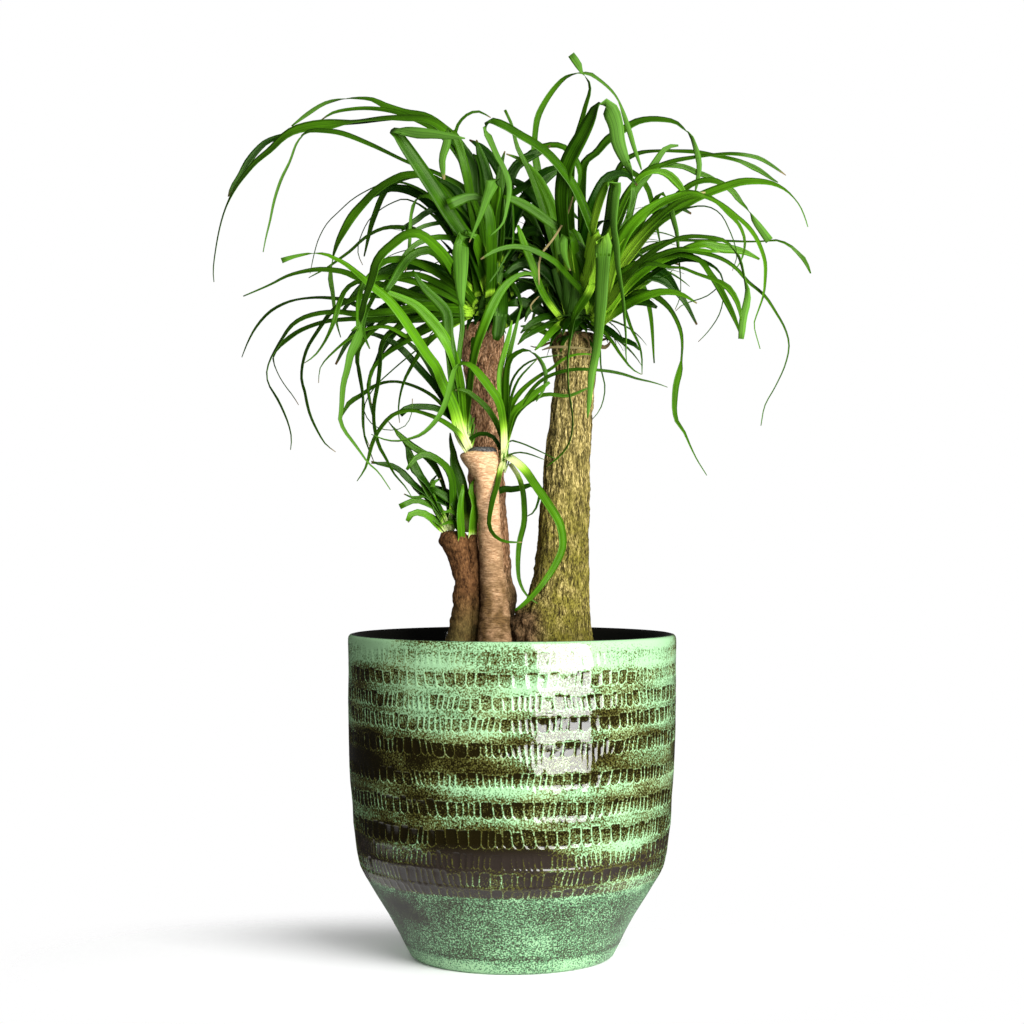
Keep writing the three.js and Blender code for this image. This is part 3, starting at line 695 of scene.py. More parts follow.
def build_stem(name, rows, roundness, spacing):
    """A stem raised ring by ring from a circle, through its rows, with a ring about every `spacing` mm."""
    dense = []
    for start, end in zip(rows, rows[1:]):
        parts = max(1, round((end[0] - start[0]) / spacing))
        for i in range(parts):
            dense.append([a + (b - a) * i / parts for a, b in zip(start, end)])
    dense.append(list(rows[-1]))
    shaped = [((left + right) / 2 * MM, depth * MM, z * MM, (right - left) / 2 * MM)
              for z, left, right, depth in dense]
    x, y, z, radius = shaped[0]
    deselect()
    bpy.ops.mesh.primitive_circle_add(vertices=32, radius=radius, fill_type="NGON", location=(x, y, z))
    piece = start_editing(name)
    bpy.ops.transform.resize(value=(1, roundness, 1), center_override=(x, y, z))
    for nx, ny, nz, wider in shaped[1:]:
        bpy.ops.mesh.extrude_region_move(TRANSFORM_OT_translate={"value": (nx - x, ny - y, nz - z)})
        bpy.ops.transform.resize(value=(wider / radius, wider / radius, 1), center_override=(nx, ny, nz))
        x, y, z, radius = nx, ny, nz, wider
    for _ in range(2):
        bpy.ops.mesh.inset(thickness=radius * 0.35)
    end_editing()
    smoother = piece.modifiers.new("Round", "SUBSURF")
    smoother.levels = 2
    bpy.ops.object.modifier_apply(modifier=smoother.name)
    return piece


def roughen(piece, rows, relief):
    """Push each vertex out from the stem's own axis by relief(point, around, height) metres."""
    heights = [row[0] * MM for row in rows]
    for vertex in piece.data.vertices:
        co = vertex.co
        index = max(0, min(len(heights) - 2, sum(h <= co.z for h in heights) - 1))
        low, high = rows[index], rows[index + 1]
        t = (co.z / MM - low[0]) / (high[0] - low[0])
        middle_x = ((low[1] + low[2]) * (1 - t) + (high[1] + high[2]) * t) / 2 * MM
        middle_y = (low[3] * (1 - t) + high[3] * t) * MM
        out = Vector((co.x - middle_x, co.y - middle_y, 0))
        if out.length > 1e-5:
            vertex.co += out.normalized() * relief(co.copy(), math.atan2(out.y, out.x), co.z / MM)


def ridged(point, x_scale, z_scale):
    """Ridges of a noise stretched along the stem: 1 on a ridge, less beside it."""
    return 1 - abs(noise.noise(Vector((point.x * x_scale, point.y * x_scale, point.z * z_scale)))) * 2


def corky(point, around, height):
    """Relief of the main trunk: corky ridges, and knobs on its front."""
    cork = (ridged(point, 210, 34) - 0.55) * 0.0016 + (ridged(point, 520, 80) - 0.55) * 0.0009
    cork += noise.noise(point * 70) * 0.0009
    for x, z, reach, rise in TRUNK_KNOBS:
        away = math.hypot(point.x / MM - x, height - z)
        if point.y < 0.01 and away < reach * 2:
            cork += rise * MM * math.exp(-(away / reach) ** 2 * 1.6)
    return cork


def wrinkled(strength):
    """Relief of the other stems: rings of old leaf scars and lumps."""
    def relief(point, around, height):
        rings = noise.noise(Vector((around * 1.1, height * 0.30, 3.0)))
        lumps = noise.noise(point * 75) + 0.5 * noise.noise(point * 190)
        return strength * (rings * 0.0005 + lumps * 0.0011)
    return relief


def moss_root_and_crown_shade(tree, colour, axes, value, grain, blotch):
    """Moss on the lower half, reddish bark at the left of the foot and painted shade, a dark band, under the crown.
    """
    damp = tree.ramp(blotch, 0.30, 0.62, 0.35, 1.0)
    mossy = tree.times(tree.ramp(axes["Z"], 0.40, 0.27), damp)
    moss = tree.mix(tree.ramp(value, 0.40, 0.60), (0.013, 0.010, 0.001), (0.170, 0.150, 0.014))
    colour = tree.mix(tree.times(mossy, 0.85), colour, moss)
    foot = tree.times(tree.ramp(axes["X"], 0.026, 0.012), tree.ramp(axes["Z"], 0.246, 0.238))
    root = tree.mix(tree.ramp(value, 0.42, 0.60), (0.030, 0.016, 0.006), (0.210, 0.115, 0.062))
    colour = tree.mix(tree.times(foot, 0.85), colour, root)
    # Painted shade: a dark band on the trunk just under the crown.
    crown_shade = tree.times(tree.ramp(axes["Z"], 0.422, 0.436), tree.ramp(blotch, 0.30, 0.60, 0.35, 1.0))
    return tree.mix(tree.times(crown_shade, 0.8), colour, (0.070, 0.040, 0.015))


def grey_cut(tree, colour, axes, value, grain, blotch):
    """The front stump's flat top, cut long ago and gone grey."""
    cut = tree.mix(tree.ramp(grain, 0.35, 0.65), (0.020, 0.019, 0.018), (0.110, 0.108, 0.105))
    ragged = tree.plus(axes["Z"], tree.times(tree.minus(blotch, 0.5), 0.003))
    return tree.mix(tree.ramp(ragged, 0.3512, 0.3518), colour, cut)


# Bark: light, middle and dark colour, and a darker tint low down; stretch of its streaks; heights in metres between
# which the tint fades out; depth of its cracks; patches laid over it.
BARKS = {
    "grey_brown_bark": (
        (0.56, 0.445, 0.180), (0.190, 0.146, 0.042), (0.014, 0.010, 0.002), (0.160, 0.140, 0.030),
        (540.0, 540.0, 80.0), (0.215, 0.235), 0.75, moss_root_and_crown_shade),
    "brown_bark": (
        (0.47, 0.275, 0.150), (0.200, 0.100, 0.045), (0.024, 0.011, 0.004), (0.120, 0.090, 0.030),
        (430.0, 430.0, 110.0), (0.225, 0.290), 0.6, None),
    "reddish_bark": (
        (0.150, 0.070, 0.024), (0.078, 0.033, 0.010), (0.020, 0.008, 0.002), (0.105, 0.082, 0.022),
        (330.0, 330.0, 130.0), (0.215, 0.262), 0.25, None),
    "tan_bark": (
        (0.68, 0.45, 0.265), (0.50, 0.300, 0.160), (0.33, 0.180, 0.085), (0.125, 0.068, 0.020),
        (150.0, 150.0, 620.0), (0.244, 0.338), 0.4, grey_cut),
}


def bark_material(name):
    """Bark: streaks and cracks along its stretch, a darker tint low down, and patches."""
    light, mid, dark, low_tint, stretch, fade, cracks, patches = BARKS[name]
    material, tree, shader = new_material(name)
    place = tree.place()
    axes = tree.split(place)
    grain, blotch = speckle(tree, place, 0.0008, 0.009)
    streak = tree.noise(tree.stretched(place, stretch), 1.0, 5.0, 0.68, 0.5)
    finer = (2.3 * stretch[0], 2.3 * stretch[1], max(420.0, 2.3 * stretch[2]))
    fine = tree.noise(tree.stretched(place, finer), 1.0, 3.0, 0.6, 0.3)
    seam = tree.noise(tree.stretched(place, tuple(0.8 * s for s in stretch)), 1.0, 1.5, 0.5, 0.8)
    crack = tree.ramp(tree.math("ABSOLUTE", tree.minus(seam, 0.5)), 0.055, 0.008)
    value = tree.plus(tree.times(streak, 0.52), tree.times(fine, 0.48))
    colour = tree.mix(tree.ramp(value, 0.39, 0.49), dark, mid)
    colour = tree.mix(tree.ramp(value, 0.49, 0.60), colour, light)
    colour = tree.mix(tree.times(tree.ramp(blotch, 0.48, 0.66), 0.45), colour, mid)
    colour = tree.mix(tree.times(crack, cracks), colour, dark)
    # Darker towards the bottom of each stem.
    low_share = tree.times(tree.ramp(axes["Z"], fade[1], fade[0]), tree.ramp(blotch, 0.25, 0.60, 0.45, 0.95))
    tint = tree.mix(tree.ramp(value, 0.40, 0.60), tuple(0.4 * c for c in low_tint), low_tint)
    colour = tree.mix(low_share, colour, tint)
    if patches:
        colour = patches(tree, colour, axes, value, grain, blotch)
    shader.inputs["Specular IOR Level"].default_value = 0.12
    height = tree.plus(tree.times(value, 0.9), tree.times(grain, 0.25))
    height = tree.minus(height, tree.times(crack, 0.4 * cracks))
    surface(tree, shader, colour, tree.ramp(value, 0.3, 0.7, 0.92, 0.70), height, 0.8, 0.0016)
    return material


# Stems: name of the piece, its rows, roundness, spacing of its rings in mm, relief, slot, bark and CAD node.
STEMS = (
    ("main_trunk_bark", MAIN_TRUNK, 0.86, 4.0, corky, "main_trunk_bark", "grey_brown_bark", "main_trunk"),
    ("rear_trunk_bark", REAR_TRUNK, 0.95, 4.0, wrinkled(1.1), "brown_bark", "brown_bark", "rear_trunk"),
    ("left_stump_bark", LEFT_STUMP, 0.95, 3.0, wrinkled(1.5), "brown_bark", "reddish_bark", "left_stump"),
    ("stump_seam_bark", STUMP_SEAM, 0.9, 3.0, wrinkled(1.2), "brown_bark", "reddish_bark"),
    ("front_stump_bark", FRONT_STUMP, 0.95, 3.0, wrinkled(0.9), "tan_bark", "tan_bark", "front_stump"),
)


class PALM_OT_stems(bpy.types.Operator):
    """Raise the two trunks and the two old stumps, with their bark."""

    bl_idname = "palm.stems"
    bl_label = "Stems and bark"

    def execute(self, context):
        barks = {bark: bark_material(bark) for bark in BARKS}
        for name, rows, roundness, spacing, relief, slot, bark, *node in STEMS:
            piece = build_stem(name, rows, roundness, spacing)
            roughen(piece, rows, relief)
            finish_piece(piece, slot, barks[bark], *node)
        return {"FINISHED"}


# ----------------------------------------------------------------- the leaves
# Each leaf: real width, tone (0 deep green, 1 bright; partly the leaf's own green, partly painted light and shade),
# depths along it,
# then the points of its line in threes: across, height and width seen from the front, all in mm. A negative width
# shows the underside.
# The long leaves, in the order of their numbers.
MAIN_CROWN = (
    (6, 0.55, (24,30,34,32,28,24), 32,478,5, 27,492,4, 21,520,4.5, 17.7,551,5.5, 15.3,565,4.5, 15.8,576.5,4,
     17.7,588,4.5, 23,599,4, 30,609,3.5, 37,616,2.5, 43,618.6,1, 54,619,-2.5, 60,615.6,-2.2, 70,607,-1.8,
     75.5,599,-1.3, 79,588.6,-3.2, 82.5,578,-3.8, 86,566,-3, 89.5,556,-2, 91,551,-1),
    (7, 0.5, (8,12,14,14,12), 44,485,6, 42,520,5, 44,565,4, 50,588,3.4, 52,596,3, 54.4,604,2.4, 55,610,1.6,
     53,615,1.2, 49.5,618.6,-1.5, 47,624,-5, 44,628.5,-5.4, 41.5,632,-5),
    (13, 0.35, (-20,-40,-55,-66,-72,-74,-72), 42,480,7, 37,515,8, 36,535,10, 39,553,11, 44,564,11, 50,574.5,10,
     56,586.5,8, 60,595,4, 64,598,-2, 67,596,-8, 69,593,-12, 73,582,-10.8, 74.5,571,-10.3, 78,561,-8, 81,554,-5,
     84,547,-2, 85,540,2.5, 85,531,5.4, 83,523.6,4, 80.7,516.6,1.5),
    (9, 0.4, (16,30,42,50,54,54), 50,480,6, 50,520,6, 50,540,6, 52,556,5.5, 60,562.6,5, 68,572,6, 79,579,5.5,
     87,584,4.9, 95.5,586,4.2, 105,586,3.8, 115,584,2.6, 120,580,1.6, 125,575.6,-2, 128,569,-3.2, 130.6,561,-4.3,
     131.7,553,-3.8, 130.6,544,-3, 128.8,535.5,-1),
    (9, 0.45, (20,58,82,100,106), 60,472,5, 68,515,5, 72,540,5, 79,556,4, 89.5,562,3, 102,563.5,2, 117,563.5,2.4,
     130,563,2.8, 141,561,2.7, 160,557,2.7, 169,553,4, 175.5,549.6,3.4, 182,545,2.2, 187,542,0.8),
    (10, 0.75, (-6,-12,-16,-20,-24,-28), 60,452,8, 66,464,8, 72,474,7, 81,486,6, 88,494.5,5.4, 95,504,5.8,
     104,514,6.5, 113,520,6.2, 124,527,6, 131,531,6, 140,535,6, 151,539,5.8, 161,542,5.4, 172,542.5,4.4, 183,541,3,
     192,536.6,1.6, 198,531,0.8, 202.5,525,0.8, 206,517,0.8, 208,510.7,0.6),
    (10, 0.85, (-12,-48,-64,-76,-82,-84), 60,448,8, 64,458,8, 68,475,6, 75,499,5, 82.5,507.5,5.4, 91,516,6,
     100,524,5.6, 108,528,5.2, 118,532,4.9, 127,534,3.6, 133,532,3, 141,529,3, 149.5,524,2.8, 157,518,2.7, 165,511,3,
     171,503,2.8, 175.5,493,2.6, 177.6,485,2.4, 177.6,474,2, 176.5,463,1.4, 171,446.5,0.8, 170,442,0.7,
     174.4,425,0.6),
    (9, 0.6, (-20,-82,-112,-126,-134), 62,450,6, 72,462,6, 82,476,4.5, 95,484,3, 111,481.5,2, 119,481.5,1.6,
     128,478,2, 137,475,2.3, 144.6,472.5,3, 151,469,4.5, 157,461,4, 160,453,3, 161,445,1),
    (10, 0.8, (10,36,52,66,74), 60,446,8, 72,452,8, 80,460,8, 88,469,8, 97,474,5.4, 106,481.5,4, 109,488.7,3.6,
     119,493,4.5, 128,497,5, 137,498.6,5.4, 146,496,7, 155,495,6, 164,493,4, 174,488,1.5),
    (9, 0.5, (14,84,108,118,122), 58,462,6, 76,478,5, 92,493,4, 110,500,2.5, 130,500.5,1.8, 149.5,500.4,1.6,
     167,500,1.2, 178,500.4,1, 187,501,1.4, 196,497,2, 201.5,492,2.7, 206,487,3.2, 210,478,1),
    (9, 0.5, (-10,-58,-74,-80,-82,-82), 60,448,6, 80,474,6, 100,488,4.5, 118,494,3.5, 130,492,3, 140,490,2.8,
     150,486,2.6, 158,480,2.4, 165,472,2.2, 177,462,2, 184.6,451,1.6, 191.7,438.6,1.1, 194.4,427.7,0.8,
     191.7,413.7,0.8, 184.6,398,0.7, 177.6,385,0.7, 175,371,0.6),
    (8, 0.5, (-2,-20,-42,-48,-52,-54), 58,443,6, 70,448,5.5, 79,454.5,5, 85,462,5, 92,464,4.7, 99,462,4.5, 106,457,4,
     112,450,3, 117.5,438,2.7, 119,427.5,1.3, 118.6,418,0.9, 117.5,410,4, 115,400,4.5, 114,389,4, 114,381,3.4,
     116,373,2.7, 120,368,2, 125,357,1.2, 130,347,0.8, 137,336,0.6),
    (8, 0.6, (-20,-58,-78,-84,-86,-86), 52,480,5, 58,512,5, 63,531,6, 69,542,3, 72.5,541,-6.5, 72,531,-6, 71,520,-5.4,
     71,510,-4.5, 73,497,-4.5, 74,483,-3.6, 76,471,-2.7, 78,458,-2.2, 79,445,-1.8, 80,434,-1.3, 80,423,-1,
     80.5,416.6,-0.6),
    (11, 0.6, (-16,-56,-68,-72,-72,-70), 50,470,7, 55,482,7, 58,496,7, 62,505,4, 64,503,-9, 63.4,486,-10,
     62.5,472,-9.5, 62,459,-9, 61,445,-7.5, 60,432,-6.8, 58,418,-5.9, 56,407,-5.4, 55,396,-4, 54,385,-3,
     53,376.5,-0.8),
    (7, 0.5, (-24,-50,-56,-54,-50), 57,472,6, 54,464,6.3, 51.5,460,6.3, 47,453,6.3, 44,446,3.6, 43,440,2, 40,420,1,
     40,400,1, 42,385,1, 43,372,1, 40,358,1, 33,349,1, 24,342,0.7),
    (9, 0.4, (-22,-46,-56,-64,-76,-82,-84), 56,466,7, 59,500,7, 55,511,6.5, 50,524,6.5, 43,539,6, 35,550,6,
     26,560.6,6, 16,568.6,5.7, 6,574.5,5.5, -5.5,581.5,5.5, -13.5,584.4,5, -17.5,583,2, -18.5,580,-2, -17,576.5,-4.6,
     -13.5,568.6,-4, -9.5,559.6,-3.8, -5.6,552.7,-3.5, -2.6,543,-4.5, -2,534,-3.5, -3.6,524,-2.5, -6.5,513,-1.6,
     -13.5,506,-1, -16,504,-0.6),
    (8, 0.5, (8,34,52,62), 56,476,5, 66,492,-3, 74,502,-5, 82,515,-4.8, 87.4,536.6,-4.9, 91,542,-5.4, 96.6,549.6,-5.9,
     102,558,-4.9, 107,565,-3.8, 113,568,-2.6, 117,568,-1.4),
    (9, 0.6, (-18,-92,-116,-124,-126), 62,452,6, 76,468,6, 96,490,4, 118,502,3, 136,503,2.6, 150,500,2.2,
     159,489.6,-2, 162,480,-1.6, 163.5,472.5,-1.4, 165.7,465,-4, 165,457,-5.4, 162.6,447,-5.4, 161.7,438,-5,
     161,432,-4),
    (10, 0.4, (16,80,120,156,182), 50,474,5, 56,512,5, 66,540,5, 80,550,4, 94,540,4, 100,520,3, 104,500,1),
    (10, 0.35, (18,80,120,160,184), 42,474,5, 38,520,5, 42,550,5, 44,563,4, 38,552,-4, 35,525,-3, 34,500,-1),
    (9, 0.5, (14,60,104,142,160), 54,458,5, 62,476,5, 76,486,5, 90,472,4, 97,450,3, 100,415,1),
)
REAR_CROWN = (
    (12, 0.6, (18,18,4,-6,-14,-22,-28), -20,478,8, -25,520,11, -30,550,12, -37,565,10, -48,578,7, -60,585,5,
     -75,586,4.5, -90,586,3, -110,584,1.6, -120,583,4.5, -129,582,7.5, -141,581,7, -153,578,6, -161,573,5,
     -169,565,4.2, -180,556,3.6, -186,549,3, -194,538,2, -201,524,1, -205,511,0.9, -208,496,0.8, -210,480,0.7,
     -209.5,472,0.5),
    (8, 0.5, (26,52,60,66,70), -20,484,5, -24,530,5, -32,560,5, -45,577,5, -60,588,4.8, -75,591,4.6, -90,596,4.5,
     -98,600,3, -112,601,1.2, -125,599.5,-2, -133,597,-2.6, -144,590,-3, -155,581.6,-1),
    (9, 0.45, (4,-22,-38,-48,-56,-60), -20,480,6, -23,515,5, -32,535,4, -50,546,3, -75,556,2, -100,568,3,
     -120,576,3.6, -130,577.5,3.2, -144,577,2, -150,571,-1, -156,556,-1.6, -162,544,-2, -167,529,-1.8, -170,515,-1.4,
     -173,503,-1, -175,493,-0.6),
    (12, 0.3, (0,-30,-46,-60,-72,-80), -18,466,8, -22,478,8, -29,498,10, -37,509,10.5, -45,521,11, -53,534,11,
     -63,549,10, -73,564,9, -80,574,7, -85,579,2, -80,579,-4, -68,577,-8, -55,576,-6.5, -45,574.5,-4.5, -33,573,-1),
    (9, 0.65, (12,4,0,-2,-2,0), -24,476,6, -30,500,6, -42,526,6, -60,545,5, -75,546.5,5, -84,543,5, -95,536,5.2,
     -103,528,5.4, -112,518,6.3, -118.5,507,5, -122,500,3.5, -125,491,1.5, -127.5,475,-3.5, -126,465,-3,
     -125,455,-2.4, -123,442,-1.6, -120.4,433,-0.6),
    (8, 0.9, (18,36,46,52,54), -26,462,6, -42,480,5, -50,491,4.5, -60,503,4, -68,508,3.6, -75,509.5,3.2, -85,510,2.8,
     -91,509,2.4, -99,505.5,2.2, -106,500.5,2, -113,494,2, -122,487.5,1.8, -129,482.5,1.4, -143,475,0.6),
    (10, 0.7, (6,-80,-98,-104,-104,-100,-96), -26,462,7, -38,474,7, -52,494,7, -66,505,6.6, -75,504,6.3, -83,498,6.3,
     -90,492,6.3, -95,484.5,6, -97,475.5,5.9, -100,466.5,5, -103,457.5,4, -105,447.5,4, -106,437.6,-5, -109,429.5,-7,
     -113,421,-5.4, -115,411.5,-4.6, -118,400.6,-4, -119,391,-3.6, -119.5,382.6,-3.2, -120.5,375,-2.8, -117,367,-2.4,
     -111,359,-2, -106,352,-1.5, -101,345,-1.2, -94,338.5,-0.9, -85.5,326,-0.6),
    (12, 0.6, (6,-34,-44,-52,-54), -20,478,8, -24,494,8, -29,504,6, -34,504,-6, -36,496,-11.5, -36,480,-10,
     -36,465,-6.5, -35,455,-3),
    (7, 0.45, (20,36,40,38,32,28), -16,488,5, -10,505,5, -5,520,5, 2,548,4.6, 11,560,4.2, 20,566,4, 30,568,4,
     37,566,4, 43,560,4.5, 47,552,4, 48,544,4, 45,535,3, 41,524,1.5, 35,511,1.2, 26,500,1, 20,491,1, 18.7,482,0.8,
     18.7,474,0.6),
    (8, 0.5, (14,-10,-20,-26,-30), -26,452,6, -46,456,6, -64,460,6, -80,466,5, -95,470,5, -110,475,4.4, -118,478.5,4,
     -127,480,3.6, -136,480.5,3.2, -147,479,2.6, -158,476,2, -170,470,1.4, -189,462,0.9),
    (8, 0.4, (20,56,70,80,86), -26,449,6, -44,448,6, -60,446,6, -78,445,5, -90,446,4.5, -100,451,4, -109,455,3.6,
     -117,458.5,3, -126,460,2.4, -137,460.6,1.8, -150,459.4,1.4, -159,457,1.8, -170,451,2, -180,440,1.6, -186,429,1,
     -190,419,0.6),
    (9, 0.5, (8,-54,-66,-74,-78,-80), -26,452,7, -44,453,7, -62,454,6.5, -80,451,6, -100,449,5, -110,448.6,4.4,
     -120,450,3.6, -129,450,3.2, -139,448.6,3.2, -148,445.5,3, -155,440.5,2.6, -161,432,2, -166,424,1.4,
     -169.5,417.5,0.9, -172,410,0.6, -171.7,403,0.7, -170,398.6,1, -165,390.5,1.5, -160,380,1.3, -156.6,370.6,1,
     -155,362,0.8, -155.7,354,0.5),
    (10, 0.4, (26,80,110,138,164), -24,476,6, -30,512,6, -46,538,5, -66,547,5, -86,539,4, -97,518,4, -104,490,1),
    (10, 0.35, (26,90,130,162,188), -18,482,6, -20,522,6, -23,552,5, -26,561,4, -30,545,-4, -32,520,-3, -32,495,-1),
    (9, 0.4, (22,70,104,134,156), -12,472,5, -4,504,5, 8,520,5, 16,500,4, 19,475,3, 20,440,1),
)
LEFT_SHOOT = (
    (9, 1.0, (-28,-50,-68,-80,-84,-86), -31,354,7, -36,365,9, -42,385,8, -50,402,7.4, -54,412,7, -60,420,7,
     -69,434,6.8, -79,449,6.4, -88,460,5.9, -99,469,5.4, -108,477,4, -118,485,3, -126,489,2.5, -130,491,2.2,
     -137,492,1, -144,491.7,-1.6, -154,489.7,-2.7, -162,487,-4),
    (6, 0.5, (-22,-14,-6,2,8,10), -32,358,4, -42,376,3, -54.5,390,2.5, -62,395,2.2, -71,399,2, -81,401.5,1.8,
     -90,401,2, -98,398,2.6, -106,392.5,3.2, -114.5,387,3.6, -119.5,378,1),
    (7, 0.6, (-26,-58,-72,-80,-84), -31,354,4, -38,365,4, -50,374,3.4, -61,378.6,2.6, -70,381,2.5, -79,380,2.6,
     -85,377,2.7, -91,370.6,2.7, -96,363,2.7, -99,355.5,2.7, -101,347,2, -103.6,340,1.4, -109,332,0.6),
    (8, 0.7, (-24,-30,-34,-36,-34,-32), -32,356,5, -32,370,5, -30,390,5, -28,408,5, -25,425,6, -20,440,6.5, -14,455,7,
     -7,467,6, 0,474,4.4, 8,478,3, 15,477,2, 20,466,0.8),
    (9, 0.35, (-28,-42,-50,-56,-62), -32,356,5, -37,370,6, -40,390,7, -42,405,7.5, -43,420,8, -45,435,8, -46,450,8,
     -52,458,7, -62,468,5, -70,480,2),
)
RIGHT_SHOOT = (
    (6, 0.4, (-24,-26,-32,-36,-38), -6,346,4, -5,370,5, -4,385,5, -4,400,5, -3,412,4.6, -1,418,4, 4,422,3, 10,424,2,
     17,420,-2, 22,413,-3, 24,405,-3, 22,396,-2, 17,388,-0.8),
    (8, 0.8, (-26,-52,-64,-74,-80,-84), -6,352,5, -7,372,5, -10,388,6, -16,397,6, -22,405,6, -30,413,4, -36,414,2,
     -39,411,-3, -42,402,-4, -46,388,-4, -52,376,-3.4, -63,365,-2.4, -72,361.6,-1.6, -82,360,-1.2, -91,361.6,-1,
     -99,365,-0.6),
    (8, 0.7, (-26,-34,-40,-44,-46,-46,-44), -4,349,5, 0,347,5.4, 8,340,6, 15,330,6, 22,320,6, 28,311,6, 33,302,5.8,
     35,293,5.4, 35,285,5.2, 32,277,5, 27,268,4.6, 20,258,4, 13,250,3.4, 5,243,2.4, 2,241,1.6),
    (6, 0.5, (-22,-24,-26,-28,-30), -2,344,3, 4,335,3.4, 7,325,3.8, 8,315,4, 8,303,4, 5,290,3.8, 4,280,3.5, 4,270,3,
     5,262,2.4, 8,255,1.8, 12,250,1.2, 18,246,0.7),
)
LEFT_SPROUT = (
    (7, 0.4, (-18,-22,-28,-32,-36), -46,300,6, -52,312,6, -61,328,5.5, -67,340,5.5, -70.5,348,4.7, -74,357,3,
     -80,365,1),
    (7, 0.4, (-18,-24,-34,-42,-48), -42,304,6, -42,322,5.5, -44,338,5, -51,346,4.3, -61,351,5, -68,348,4, -74,340,2),
)
